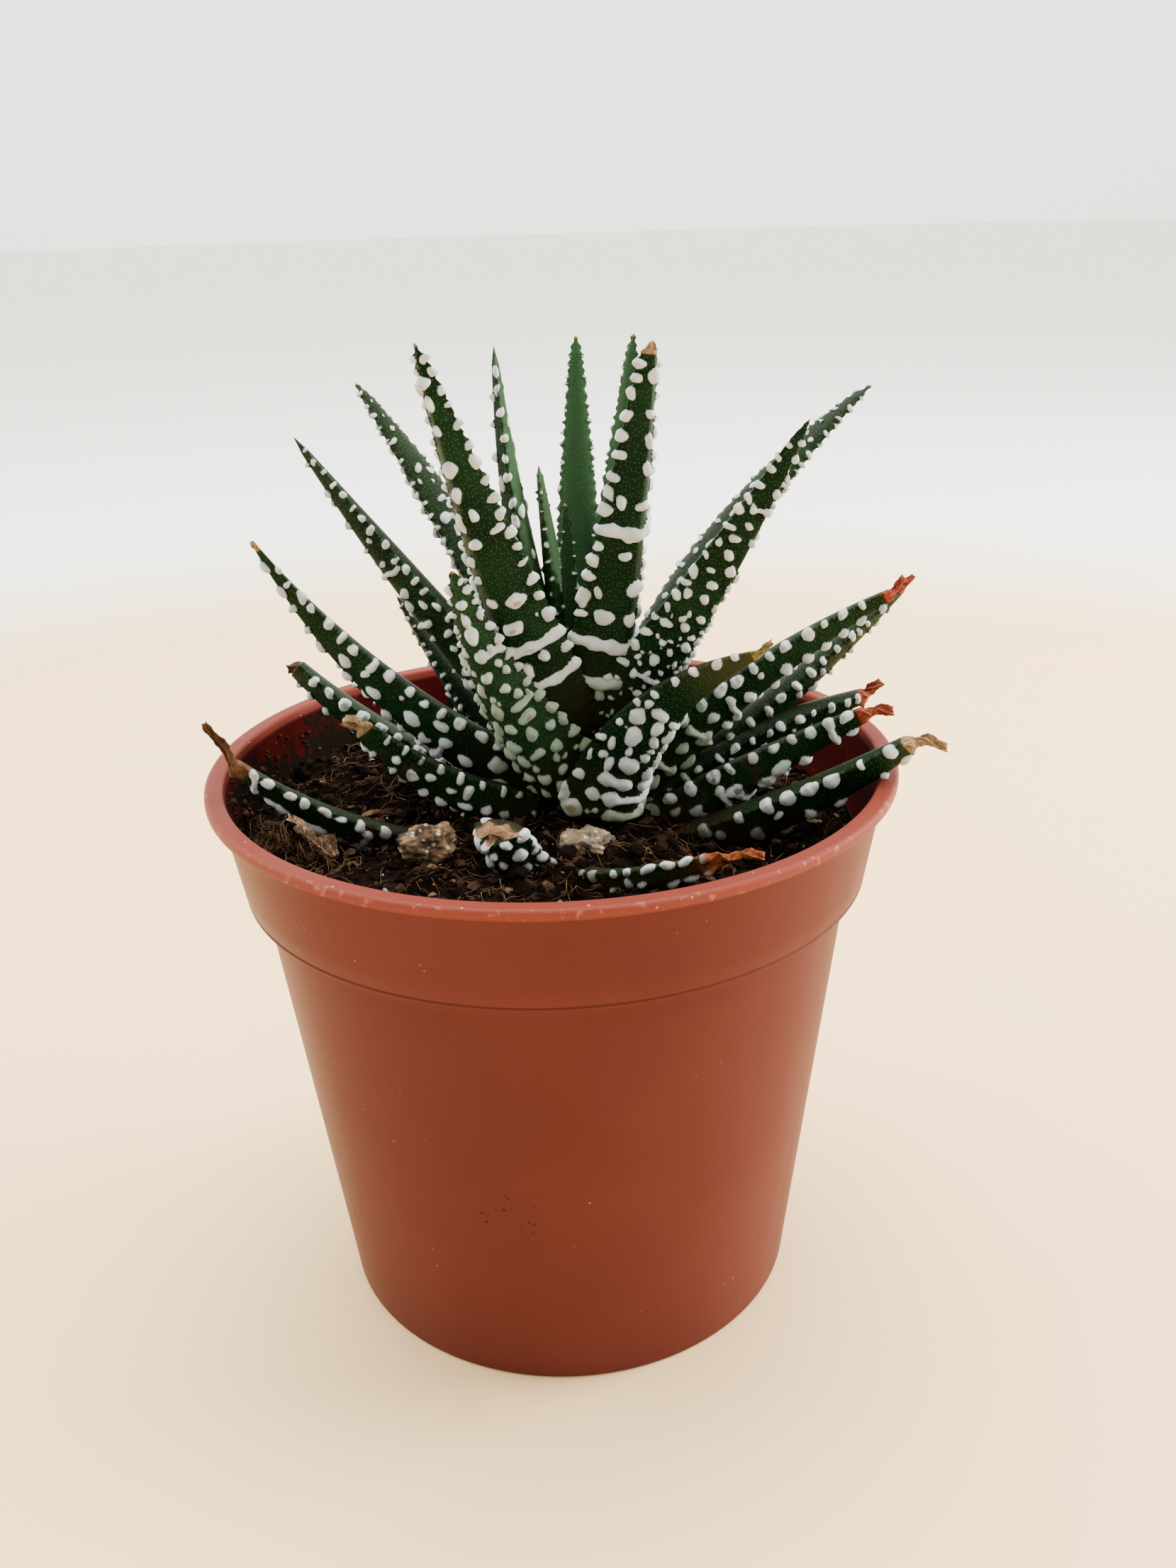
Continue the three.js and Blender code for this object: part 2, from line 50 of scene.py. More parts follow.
# Camera, fitted to the ellipses of the pot's rim, band and foot
CAMERA_PLACE = (0.0, -0.1655, 0.1363)
CAMERA_YAW = radians(1.51)
CAMERA_PITCH = radians(22.52)
CAMERA_ROLL = radians(-1.65)
FOCAL_PIXELS = 2000.0
IMAGE_HEIGHT = 2212.0
SENSOR = 36.0

# Room: its colour and brightness, and how that grows away from the camera and upwards
ROOM_COLOUR = (1.0, 1.0, 0.93)
ROOM_LEVEL = 1.65
ROOM_AWAY = 1.3
ROOM_UP = 1.2

# Lamps: place, size, power and colour, and the point that they face
LAMPS = {
    "ceiling": ((0.0, 0.25, 0.9), 0.7, 14.0, (1.0, 1.0, 0.98)),
    "window": ((-0.7, 0.2, 0.4), 0.5, 4.0, (1.0, 1.0, 1.0)),
    "room": ((0.75, 0.12, 0.32), 0.5, 17.5, (1.0, 0.965, 0.95)),
}
LAMP_TARGET = (0, 0, 0.07)
FLOOR_RADIUS = 6.0

# Pot, in millimetres
POT = SimpleNamespace(
    height=72.0, rim=42.5, lip=2.3, lip_thick=1.3, band_top=41.0, band=13.6, band_foot=39.0, band_wall=1.2,
    neck=37.1, wall=1.1, foot=30.2, floor=1.3, ring=5.6, rise=1.4, pad=8.0, step_low=1.0, step_high=3.0,
    steps=192, pad_round=0.3, foot_round=0.6, band_round=0.25, edge_round=0.35, lip_round=0.45,
    floor_round=0.8,
)
DRAIN = SimpleNamespace(count=6, circle=16.0, radius=3.0, sides=32)
BAND_FOOT = POT.height - POT.band
SOIL_SMEAR = (-0.009, -0.0335, 0.027)
INNER_SLOPE = (POT.rim - POT.lip - POT.band_foot + POT.band_wall) / POT.band
INNER_START = (POT.band_foot - POT.band_wall - INNER_SLOPE * BAND_FOOT) * MM

# Soil: its level, the mound under the plant, the low right side, the gaps to the pot and the grid
SOIL = SimpleNamespace(
    level=63.6, mound=2.4, mound_x=0.0, mound_y=-8.0, spread=15.0, dip=2.4, dip_start=12.0, dip_end=34.0,
    over_floor=0.3, gap=0.6, edge_gap=0.3, rings=90, steps=240,
)

# How far out the bits lie, and the height of the clods and of the grains on them
SOIL_REACH = 38.5
CLOD_HEIGHT = 1.1
GRAIN_HEIGHT = 0.35

# Loose bits: colour family, how many, smallest and largest size, least and most height over the size, seed
LOOSE_BITS = {
    "soil_crumbs": ("crumb_dark", 3600, 0.13, 1.25, 0.5, 1.0, 31),
    "soil_brown": ("crumb_brown", 3400, 0.1, 0.95, 0.4, 0.9, 43),
    "soil_chips": ("chip_tan", 320, 0.2, 1.1, 0.2, 0.45, 57),
    "soil_grit": ("grit_pale", 60, 0.15, 0.45, 0.7, 1.0, 91),
    "wall_crumbs": ("crumb_brown", 480, 0.1, 0.75, 0.4, 0.9, 17),
}

# Colour families of the loose bits and fibres: dark and light
FAMILIES = {
    "crumb_dark": ((0.0012, 0.0006, 0.0004), (0.008, 0.0040, 0.0026)),
    "crumb_brown": ((0.006, 0.0031, 0.0019), (0.042, 0.0205, 0.0115)),
    "chip_tan": ((0.045, 0.024, 0.013), (0.17, 0.102, 0.058)),
    "grit_pale": ((0.20, 0.16, 0.12), (0.42, 0.36, 0.28)),
    "fibre_brown": ((0.014, 0.007, 0.0035), (0.16, 0.088, 0.045)),
}

# Fibres: how many lie loose and how many in the tangle by the old leaf, and the middle of the tangle
FIBRES = 1000
TANGLE = 130
TANGLE_X = -31.5
TANGLE_Y = -9.5
FIBRE_SEED = 23
FIBRE_STEPS = 7

# Axis of the stem
STEM_X = 4.0
STEM_Y = 1.0

# A leaf is (root, tip, width, bend, studs, edge) and what differs from PLAIN_LEAF. Its root and tip are
# (azimuth in degrees, distance from the stem's axis, height). bend lifts the middle to the inner side, sway
# moves it sideways and roll turns the leaf about its own length. studs are the white tubercles of the outer
# face: (pitch along, gap across, radius, share that merges, share left out), and edge those of the margins:
# (pitch, radius). blunt is the share of the width that is left at the tip. dry is the withered end: (length,
# azimuth, rise in degrees, width), and kind its look. bands are whole white bands. Up to wavy, half of the
# neighbours in a row merge. Up to young, the tubercles are greenish, and they stand from bare to top. tall
# stretches them, small shrinks those near the base, and reach above 1 takes them over the margins. fill
# scatters small ones between them: (attempts, how far up). scar is the middle and the reach of brown scars.
# Places along the leaf are shares of its length. Leaves with fresh have a lighter upper face, and its value
# is the share of that green on the outer face.
PLAIN_LEAF = dict(
    sway=0, roll=0, blunt=0, kind="tan", bands=(), wavy=0, young=0.16, bare=0.03, top=1, tall=1, small=1,
    reach=1, fill=(0, 0), scar=(-1, 0.1), dry=None, fresh=None,
)


def blade(root, tip, width, bend, studs, edge, **more):
    """One leaf, with the usual value for whatever isn't given."""
    row = dict(root=root, tip=tip, width=width, bend=bend, studs=studs, edge=edge)
    return SimpleNamespace(**(PLAIN_LEAF | row | more))


# The leaves in the order of their numbers, from leaf_01
LEAVES = [
    blade((-60, 0.6, 78.6), (-135, 2, 103), 4, -0.8, (3.0, 1.8, 0.26, 0, 0.4), (1.9, 0.22), fresh=0.6),
    blade((160, 1.2, 78.4), (160, 4.6, 107), 5.6, -0.2, (3.2, 2.2, 0.36, 0, 0.4), (2.2, 0.28), fresh=0.6),
    blade((170, 3.4, 78), (170, 9, 120.6), 7.2, -1, (3.6, 2.6, 0.78, 0, 0.2), (3.0, 0.6), tall=1.3,
          reach=1.9, fresh=0),
    blade((55, 3.6, 76.5), (55, 13.4, 120.6), 8, -0.6, (3.4, 2.4, 0.6, 0.1, 0.3), (1.6, 0.34), fresh=0),
    blade((91, 4.6, 76), (87, 18, 120), 7.4, 0.6, (3.0, 2.4, 0.6, 0.1, 0.3), (1.5, 0.3), fresh=0),
    blade((-60, 3.2, 77.5), (-54, 13.7, 121), 10.2, -0.4, (4.0, 3.0, 1.15, 0.12, 0.06), (2.6, 0.9),
          blunt=0.2, dry=(0.8, 30, 70, 1.4), bands=(0.56, 0.25, 0.15), bare=0.12),
    blade((-130, 5, 76), (-130, 25, 123), 11, -0.8, (3.0, 2.6, 1.08, 0.08, 0.12), (2.5, 0.8), sway=0.4,
          roll=-12, bands=(0.3, 0.2), bare=0.17),
    blade((148, 5, 76.5), (148, 31.4, 115.4), 10, 1.2, (2.6, 2.4, 0.74, 0.2, 0.2), (2.0, 0.5), sway=-0.2,
          roll=6, reach=1.9),
    blade((172, 5, 73), (172, 33.2, 110.8), 9.8, -0.4, (2.5, 2.3, 0.72, 0.15, 0.12), (2.2, 0.55), sway=0.2,
          roll=-20),
    blade((-28, 3.6, 75), (-28, 28, 113.6), 11.6, -0.6, (2.5, 2.15, 0.76, 0.1, 0.1), (2.3, 0.68), roll=18,
          small=0.55, fill=(150, 0.45)),
    blade((25, 6, 70.5), (25, 42, 113), 11, 4.2, (2.5, 2.2, 0.6, 0.1, 0.12), (2.1, 0.52), sway=0.6, roll=-12,
          reach=1.9),
    blade((184, 6, 67.5), (184, 37.4, 99.4), 10.8, -2.9, (3.0, 2.7, 1.08, 0.3, 0.05), (2.8, 0.75), sway=0.2,
          roll=-24, dry=(1.2, 186, 60, 0.8)),
    blade((-115, 6.6, 70.5), (-132, 21, 99), 10, -1.2, (2.75, 2.45, 1.25, 0.1, 0.0), (2.4, 0.72), sway=-0.8,
          roll=-30, young=0.62, small=0.68, fill=(60, 0.8), fresh=0.3),
    blade((-68, 7.4, 67.5), (-36, 24, 88), 13.2, 3, (2.25, 2.15, 1.22, 0.0, 0.0), (2.4, 0.6), sway=-1.6,
          roll=14, blunt=0.12, dry=(2.6, -20, 50, 1.4), kind="olive", wavy=0.26, young=0.06, top=0.6,
          reach=1.1, fill=(120, 0.55)),
    blade((-6, 7, 67.4), (-6, 37, 91.6), 9, 1.8, (3.0, 2.6, 1.02, 0.5, 0.08), (2.8, 0.75), sway=0.2, roll=24,
          blunt=0.24, dry=(2.8, -8, 62, 1.5), kind="red", young=0.35),
    blade((8, 7, 63.5), (8, 41, 89.6), 9, -1, (2.6, 2.3, 0.7, 0.2, 0.12), (2.7, 0.66), sway=0.2, roll=10,
          blunt=0.16, dry=(2.4, 4, 55, 1.3), kind="red", young=0.4),
    blade((158, 7, 65), (158, 24.6, 90), 8, -0.4, (2.4, 2.2, 0.5, 0.1, 0.2), (1.8, 0.38)),
    blade((163, 8, 63.5), (163, 38.4, 80.4), 8.6, -2, (3.0, 2.7, 0.94, 0.2, 0.08), (3.0, 0.8), sway=0.2,
          roll=-28, blunt=0.42, dry=(1.4, 170, 10, 3), kind="dark"),
    blade((142, 8, 63), (148, 36, 76.2), 7.6, -0.6, (2.6, 2.2, 0.56, 0.1, 0.2), (2.2, 0.42), blunt=0.3,
          dry=(1.4, 150, 10, 1.6), kind="dark"),
    blade((-155, 8, 65.2), (-165, 27.4, 78.3), 8.6, -1.6, (2.5, 2.3, 0.9, 0.15, 0.05), (2.5, 0.68), roll=-26,
          blunt=0.4, dry=(2.6, 178, 35, 2.6), scar=(0.75, 0.14)),
    blade((0, 8, 64), (2, 35.4, 77.2), 8.6, 1.4, (2.3, 2.3, 0.62, 0.15, 0.12), (2.4, 0.6), roll=10,
          blunt=0.34, dry=(3, 6, 44, 2), kind="red", young=0.3),
    blade((-22, 9, 62.2), (-12, 34.4, 77.8), 9, 0.4, (3.2, 2.9, 1.25, 0.4, 0.03), (2.9, 0.85), roll=30,
          blunt=0.32, dry=(3.6, -14, 16, 2.4), kind="red", scar=(0.45, 0.16)),
    blade((-38, 9, 58.8), (-20, 40, 76.2), 10.2, -1.2, (3.5, 3.2, 1.06, 0.3, 0.06), (3.9, 0.98), sway=0.6,
          roll=16, blunt=0.36, dry=(4.4, -12, 4, 2.2), young=0.25),
    blade((-150, 9, 60), (-165, 42.6, 75.8), 7.2, -3.2, (2.7, 2.6, 0.96, 0.4, 0.06), (2.9, 0.8), sway=0.4,
          roll=-18, blunt=0.36, dry=(6.2, 168, 66, 1.8), kind="brown", tall=1.3),
    blade((-104, 9, 60), (-118, 23, 70), 9, -2.6, (2.1, 1.9, 1.05, 0.0, 0.0), (2.2, 0.66), blunt=0.74,
          dry=(0.9, -112, 30, 4.2), kind="cut", reach=1.3, fill=(60, 0.95)),
    blade((-92, 10, 60.5), (-61, 29, 68), 6.4, -0.6, (2.1, 1.9, 0.78, 0.25, 0.03), (1.9, 0.56), sway=-7,
          roll=24, blunt=0.4, dry=(5.2, -16, 16, 2.2), kind="orange"),
]

# Leaf colours: the outer face, the fresh upper face, and the worn upper face with its share
LEAF_DARK = (0.0022, 0.0110, 0.0030)
LEAF_LIGHT = (0.0055, 0.0210, 0.0065)
LEAF_UPPER = (0.0195, 0.0500, 0.0180)
LEAF_WORN = (0.0125, 0.0205, 0.0098)
WORN_SHARE = 0.7

# Leaf section: depth of the keel and crown of the upper face over the width, and the share of that depth
# by which the margins stand above the line of the leaf
THICK = 0.46
CROWN = 0.1
SETTLE = 0.42

# Curves of the section: power of the keel at the base, how much it falls to the tip, and power of the crown
KEEL_POWER = 1.75
KEEL_FALL = 0.45
CROWN_POWER = 2.4

# Leaf outline: how the width falls, least width of the tip, share that is pointed, and the rounding of the
# margins in millimetres and at most over the width
TAPER = 1.35
TIP_WIDTH = 0.9
TIP_POINT = 0.05
MARGIN_ROUND = 0.7
MARGIN_SHARE = 0.14

# Millimetres that close a leaf beyond its first and its last ring
ROOT_CAP = 0.6
TIP_CAP = 0.35

# Without tubercles: share at the tip, and millimetres beside a white band
TIP_BARE = 0.05
BAND_BARE = 0.8

# Teeth of the margins, in millimetres, and how close they keep to the margin
TEETH_RISE = 0.3
TEETH_PITCH = 1.25
TEETH_POWER = 9

# Withered end: twist in radians, in millimetres the notch in its tip, the length that it starts in and its
# least thickness, then its thickness and its crumpling over its width. The dry colour of a green tip would
# be full GREEN_POINT past it.
DRY_TWIST = 1.5
DRY_NOTCH = 1.3
DRY_START = 1.0
DRY_THINNEST = 0.42
DRY_THICK = 0.2
DRY_CRUMPLE = 0.16
GREEN_POINT = 0.15

# Tubercles: in millimetres their rise, the width of their flank, how softly they merge, how wavy they are,
# the least gap and how far one acts, then the least share of its size that one shrinks to, and half a face's
# arc over the width
STUD_RISE = 0.72
STUD_EDGE = 0.75
STUD_BLEND = 0.05
STUD_WARP = 0.13
STUD_GAP = 0.12
STUD_FAR = 4
SMALLEST_FIT = 0.4
ARC_SHARE = 0.62

# Grid of a leaf: millimetres from ring to ring, and columns round the outer and the upper face
RING_STEP = 0.26
COLUMNS_BELOW = 66
COLUMNS_ABOVE = 18
COLUMNS_STUDDED = 46

# Looks of withered ends: colour, millimetres over which it begins and over which the green before it has
# turned, and how much later it starts
DRY_LOOKS = {
    "tan": ((0.30, 0.18, 0.08), 0.35, 0.35, 0),
    "red": ((0.27, 0.05, 0.025), 1.2, 1.2, 0),
    "brown": ((0.11, 0.047, 0.020), 3.0, 3.5, 0),
    "dark": ((0.045, 0.028, 0.014), 0.3, 0.3, 0),
    "orange": ((0.23, 0.058, 0.020), 2.6, 4.5, 0),
    "cut": ((0.34, 0.175, 0.095), 0.3, 0.3, 0.3),
    "olive": ((0.22, 0.175, 0.06), 0.6, 9.0, 0),
}

# Perlite grains: their shape, and (x, y, height, size) of each
PERLITE_FLAT = (1, 0.8, 0.7)
PERLITE = [(-15, -11, 65.3, 3.6), (-7, 7.5, 65.2, 2.9), (3.4, -13.6, 65.6, 3.1)]

# Scrap of an old leaf on the soil: it runs from start over the middle to end
SCRAP = SimpleNamespace(
    start=(-33, 0, 65.1), over=(-30.4, -6, 67.3), end=(-26.4, -13, 64.9), width=4.6, thick=0.5,
)


# Meshes
def to_mesh(name, shape):
    """A mesh from a bmesh, which is freed."""
    mesh = bpy.data.meshes.new(name)
    shape.to_mesh(mesh)
    shape.free()
    return mesh


def in_scene(name, data):
    """A new object, linked to the scene."""
    made = bpy.data.objects.new(name, data)
    bpy.context.scene.collection.objects.link(made)
    return made


def keep(name, mesh, material, nodes=(), smooth=True):
    """Puts a finished mesh in the scene as one piece that rides on the root body."""
    for face in mesh.polygons:
        face.use_smooth = smooth
    piece = in_scene(name, mesh)
    mesh.materials.append(material)
    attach(piece, "root")
    if nodes:
        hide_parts(*nodes)
    return piece


def finished(name, shape):
    """A mesh from a bmesh, with its seams and poles closed and its faces pointing outwards."""
    bmesh.ops.remove_doubles(shape, verts=shape.verts, dist=SEAM)
    bmesh.ops.recalc_face_normals(shape, faces=shape.faces)
    return to_mesh(name, shape)


def laid_grid(name, points, values=None, chart=None):
    """A grid laid over rows x columns points in metres, with values per point and a chart as its UV map."""
    rows, columns = points.shape[:2]
    shape = bmesh.new()
    bmesh.ops.create_grid(shape, x_segments=columns - 1, y_segments=rows - 1, size=1.0)
    mesh = to_mesh(name, shape)
    flat = np.empty(len(mesh.vertices) * 3)
    mesh.vertices.foreach_get("co", flat)
    flat = flat.reshape(-1, 3)
    column = np.rint((flat[:, 0] + 1) / 2 * (columns - 1)).astype(int)
    row = np.rint((flat[:, 1] + 1) / 2 * (rows - 1)).astype(int)
    mesh.vertices.foreach_set("co", points[row, column].reshape(-1))
    for label, value in (values or {}).items():
        store = mesh.attributes.new(label, "FLOAT", "POINT")
        store.data.foreach_set("value", value[row, column].astype(np.float32))
    if chart is not None:
        corner = np.empty(len(mesh.loops), dtype=int)
        mesh.loops.foreach_get("vertex_index", corner)
        uv = mesh.uv_layers.new(name="chart")
        uv.data.foreach_set("uv", chart[row, column][corner].reshape(-1).astype(np.float32))
    closed = bmesh.new()
    closed.from_mesh(mesh)
    bpy.data.meshes.remove(mesh)
    return closed


def spun(profile, steps):
    """A bmesh of a profile of (radius, height) in millimetres turned once about the Z axis."""
    shape = bmesh.new()
    corners = [shape.verts.new((radius * MM, 0, height * MM)) for radius, height in profile]
    edges = [shape.edges.new(pair) for pair in zip(corners, corners[1:])]
    bmesh.ops.spin(
        shape, geom=corners + edges, cent=(0, 0, 0), axis=(0, 0, 1), angle=2 * pi,
        steps=steps, use_merge=True, use_duplicate=False,
    )
    return shape


def stamp(target, shape):
    """Adds one small bmesh to a larger one."""
    mesh = to_mesh("stamp", shape)
    target.from_mesh(mesh)
    bpy.data.meshes.remove(mesh)


# Shader values
class Value:
    """One value or place in a node tree. Python's operators and the methods below add nodes to it."""

    def __init__(self, nodes, socket):
        self.nodes = nodes
        self.socket = socket

    def math(self, operation, first, second):
        return self.nodes.node("Math", {0: first, 1: second}, operation=operation)

    def __add__(self, other):
        return self.math("ADD", self, other)

    def __sub__(self, other):
        return self.math("SUBTRACT", self, other)

    def __rsub__(self, other):
        return self.math("SUBTRACT", other, self)

    def __mul__(self, other):
        return self.math("MULTIPLY", self, other)

    def step(self, low, high, start=0.0, end=1.0):
        """Goes smoothly from start to end as the value goes from low to high."""
        values = {"Value": self, "From Min": low, "From Max": high, "To Min": start, "To Max": end}
        return self.nodes.node("MapRange", values, interpolation_type="SMOOTHSTEP")

    def mix(self, first, second):
        """Two colours, mixed by this value."""
        return self.nodes.node("Mix", {0: self, 6: first, 7: second}, output=2, data_type="RGBA")

    def ramp(self, stops):
        """Colours at places from 0 to 1, mixed evenly between them."""
        colour = self.nodes.node("ValToRGB", {"Fac": self})
        elements = colour.socket.node.color_ramp.elements
        while len(elements) < len(stops):
            elements.new(1.0)
        for element, (place, shade) in zip(elements, stops):
            element.position = place
            element.color = (*shade, 1)
        return colour

    def noise(self, scale, detail=2.0, roughness=0.5):
        values = {"Vector": self, "Scale": scale, "Detail": detail, "Roughness": roughness}
        return self.nodes.node("TexNoise", values)

    def cells(self, scale, randomness=1.0, dimensions="3D"):
        values = {"Vector": self, "Scale": scale, "Randomness": randomness}
        return self.nodes.node("TexVoronoi", values, output="Distance", voronoi_dimensions=dimensions)

    def part(self, axis):
        """One coordinate of a place."""
        return self.nodes.node("SeparateXYZ", {"Vector": self}, output=axis)

    def stretched(self, scale):
        return self.nodes.node("Mapping", {"Vector": self, "Scale": scale})

    def away(self, middle=(0, 0, 0)):
        """Distance from a place in metres."""
        return self.nodes.node("VectorMath", {0: self, 1: middle}, output="Value", operation="DISTANCE")


class Nodes:
    """A node tree that nodes are added to."""

    def __init__(self, tree):
        self.tree = tree

    def node(self, kind, values=None, output=0, **settings):
        """Any node: its settings are set first, then the values or links of its sockets."""
        made = self.tree.nodes.new("ShaderNode" + kind)
        for label, setting in settings.items():
            setattr(made, label, setting)
        for label, value in (values or {}).items():
            self.feed(made.inputs[label], value)
        return Value(self, made.outputs[output])

    def feed(self, socket, value):
        if isinstance(value, Value):
            self.tree.links.new(value.socket, socket)
        elif isinstance(value, tuple) and socket.type == "RGBA":
            socket.default_value = (*value, 1)
        else:
            socket.default_value = value


class Shader(Nodes):
    """A new node material with one Principled shader."""

    def __init__(self, name, specular=0.5):
        self.material = bpy.data.materials.new(name)
        self.material.use_nodes = True
        super().__init__(self.material.node_tree)
        self.surface = self.tree.nodes["Principled BSDF"]
        self.surface.inputs["Specular IOR Level"].default_value = specular

    def places(self):
        return self.node("TexCoord", output="Object")

    def chart(self):
        return self.node("UVMap", uv_map="chart")

    def attribute(self, label):
        return self.node("Attribute", output="Fac", attribute_name=label)

    def dressed(self, base, roughness, relief=None, strength=0, depth=0):
        """The material, once its colour, its roughness and its bump are on the surface."""
        values = {"Base Color": base, "Roughness": roughness}
        if relief:
            relief_values = {"Height": relief, "Strength": strength, "Distance": depth}
            values["Normal"] = self.node("Bump", relief_values)
        for label, value in values.items():
            self.feed(self.surface.inputs[label], value)
        return self.material


# Materials
def pot_plastic():
    """Satin brick-red plastic with faint streaks, pale dust and a smear of dark soil on it, and painted
    shade on its inner wall.
    """
    shader = Shader("pot_plastic", specular=0.04)
    where = shader.places()
    streaks = where.stretched((1, 1, 0.12)).noise(90, 3, 0.6)
    base = where.noise(28, 3, 0.5).step(0.3, 0.7).mix((0.086, 0.0190, 0.0148), (0.099, 0.0225, 0.0178))
    height = where.part("Z")
    radius = where.stretched((1, 1, 0)).away()
    on_lip = height.step(0.0707, 0.0711)
    worn = radius.step(0.0418, 0.0424) * on_lip
    lip = worn.mix((0.155, 0.0255, 0.0145), (0.225, 0.047, 0.031))
    base = (on_lip * 0.65).mix(base, lip)
    worn = worn * where.noise(900, 2).step(0.58, 0.68)
    base = (worn * 0.4).mix(base, (0.40, 0.15, 0.10))
    # Painted shade: the inner wall, from the soil up to the lip, gets a much darker deep red. Dark soil
    # clings to it, more low down and on the left.
    wall_inside = height * INNER_SLOPE + INNER_START
    inside = (1 - (radius - wall_inside).step(0.0002, 0.0006)) * height.step(0.0600, 0.0614)
    inside = inside * (1 - height.step(0.0706, 0.0714))
    side = where.part("X")
    low = height.step(0.072, 0.064) * 0.3 + side.step(-0.015, -0.038) * 0.06
    cling = (where.noise(260, 4, 0.65) + low).step(0.66, 0.76)
    cling = cling * side.step(0.02, 0.0, 0.2, 1.0)
    wall = cling.mix((0.030, 0.0014, 0.0006), (0.006, 0.003, 0.0018))
    base = inside.mix(base, wall)
    scatter = where.noise(60, 2).step(0.54, 0.68) * 0.6 + on_lip * 0.9
    dust = (1 - where.cells(460).step(0.03, 0.09)) * scatter
    base = (dust * 0.7).mix(base, (0.45, 0.26, 0.18))
    patches = where.noise(340, 2).step(0.5, 0.62)
    smear = (1 - where.away(SOIL_SMEAR).step(0.001, 0.009)) * patches
    grit = (1 - where.cells(1100).step(0.12, 0.3)) * smear
    base = grit.mix(base, (0.022, 0.006, 0.004))
    rough = streaks.step(0.3, 0.7, 0.4, 0.48) + inside * 0.5
    relief = where.noise(900, 2) + streaks * 2.0 + dust * 3.0 + grit * 4.0
    return shader.dressed(base, rough, relief, strength=0.08, depth=0.0002)


def leaf_skin(kind):
    """Dark green leaf skin with pale specks in rows, pearly tubercles and a withered end."""
    dry_colour = DRY_LOOKS[kind][0]
    shader = Shader("leaf_" + kind, specular=0.035)
    where = shader.places()
    chart = shader.chart()
    stud = shader.attribute("stud")
    along = shader.attribute("along")
    patches = where.noise(140, 3, 0.55)
    green = patches.step(0.35, 0.7).mix(LEAF_DARK, LEAF_LIGHT)
    green = shader.attribute("upper").mix(green, LEAF_UPPER)
    green = shader.attribute("worn").mix(green, LEAF_WORN)
    green = along.step(0.3, 0.05).mix(green, (0.013, 0.0125, 0.004))
    speck_cells = chart.stretched((1.15, 0.9, 1)).cells(2.0, 0.8, "2D")
    specks = (1 - speck_cells.step(0.1, 0.19)) * along.step(0.05, 0.3)
    green = (specks * 0.45).mix(green, (0.06, 0.12, 0.035))
    ragged = where.noise(800, 2) * 0.2 - 0.1
    white = (stud + ragged).step(-0.04, 0.06)
    pearl = where.noise(420, 2).step(0.3, 0.7).mix((0.39, 0.41, 0.385), (0.55, 0.57, 0.555))
    pearl = (shader.attribute("young") * 0.75).mix(pearl, (0.16, 0.225, 0.11))
    eye = stud.step(0.5, 0.62) * where.noise(190, 0).step(0.6, 0.66)
    pearl = (eye * 0.7).mix(pearl, (0.20, 0.12, 0.06))
    skin = white.mix(green, pearl)
    dry_streaks = chart.stretched((2.2, 0.5, 1)).noise(2.4, 3, 0.6)
    deep_dry = tuple(part * 0.4 for part in dry_colour)
    dry = dry_streaks.step(0.35, 0.65).mix(deep_dry, dry_colour)
    bleached = where.noise(260, 3, 0.6).step(0.5, 0.68)
    dry = (bleached * 0.35).mix(dry, (0.26, 0.155, 0.075))
    frayed = (where.noise(500, 2) - 0.5) * 0.5
    wave = (shader.attribute("dryness") + frayed).step(0.35, 0.65)
    near_soil = 1 - where.part("Z").step(0.0640, 0.0710)
    dirt = (where.noise(420, 4, 0.65) + near_soil * 0.35).step(0.62, 0.76) * near_soil
    skin = (dirt * 0.85).mix(skin, (0.020, 0.0095, 0.005))
    scarred = shader.attribute("scar") * where.noise(520, 3, 0.6).step(0.5, 0.6)
    skin = (scarred * 0.8).mix(skin, (0.040, 0.020, 0.009))
    turned = shader.attribute("turned") * (1 - white) * 0.6
    skin = turned.mix(skin, tuple(part * 0.3 for part in dry_colour))
    skin = wave.mix(skin, dry)
    rough = (white + wave).step(0, 1, 0.44, 0.55)
    relief = specks * 0.5 + where.noise(2200, 2) * 0.4 + patches * 1.2 + dry_streaks * wave * 3.0
    return shader.dressed(skin, rough, relief, strength=0.4, depth=0.00012)


def peat():
    """Dark peat, browner where it is dry on the raised clods, and near black in the hollows between them as
    painted shade.
    """
    shader = Shader("peat", specular=0.02)
    where = shader.places()
    clods = where.noise(260, 6, 0.7)
    grains = where.noise(1500, 3, 0.6)
    # The colour follows the same clods as the bump, so the hollows are painted shade, near black, and the
    # raised parts browner.
    base = (clods * 0.7 + grains * 0.3).ramp([
        (0.3, (0.001, 0.0005, 0.0003)), (0.5, (0.004, 0.0021, 0.0014)), (0.72, (0.021, 0.0105, 0.0065)),
    ])
    return shader.dressed(base, 0.95, clods * 2.0 + grains, strength=0.9, depth=0.0006)


def crumb(name):
    """One colour family of the loose bits in the soil."""
    dark, light = FAMILIES[name]
    shader = Shader(name, specular=0.03)
    where = shader.places()
    base = where.noise(320, 2, 0.6).step(0.35, 0.65).mix(dark, light)
    return shader.dressed(base, 0.9, where.noise(2600, 3, 0.6), strength=0.6, depth=0.0002)


def perlite_stone():
    """Cream porous perlite with soil in its pits."""
    shader = Shader("perlite_stone")
    where = shader.places()
    pits = where.cells(900)
    stain = where.noise(300, 4, 0.65)
    base = stain.step(0.38, 0.58).mix((0.215, 0.125, 0.053), (0.028, 0.0125, 0.005))
    base = (1 - pits.step(0.12, 0.36)).mix(base, (0.52, 0.42, 0.30))
    right = where.part("X").step(-0.005, 0.0)
    base = (right * 0.2).mix(base, (0.42, 0.35, 0.26))
    return shader.dressed(base, 0.9, pits + stain, strength=0.8, depth=0.0004)


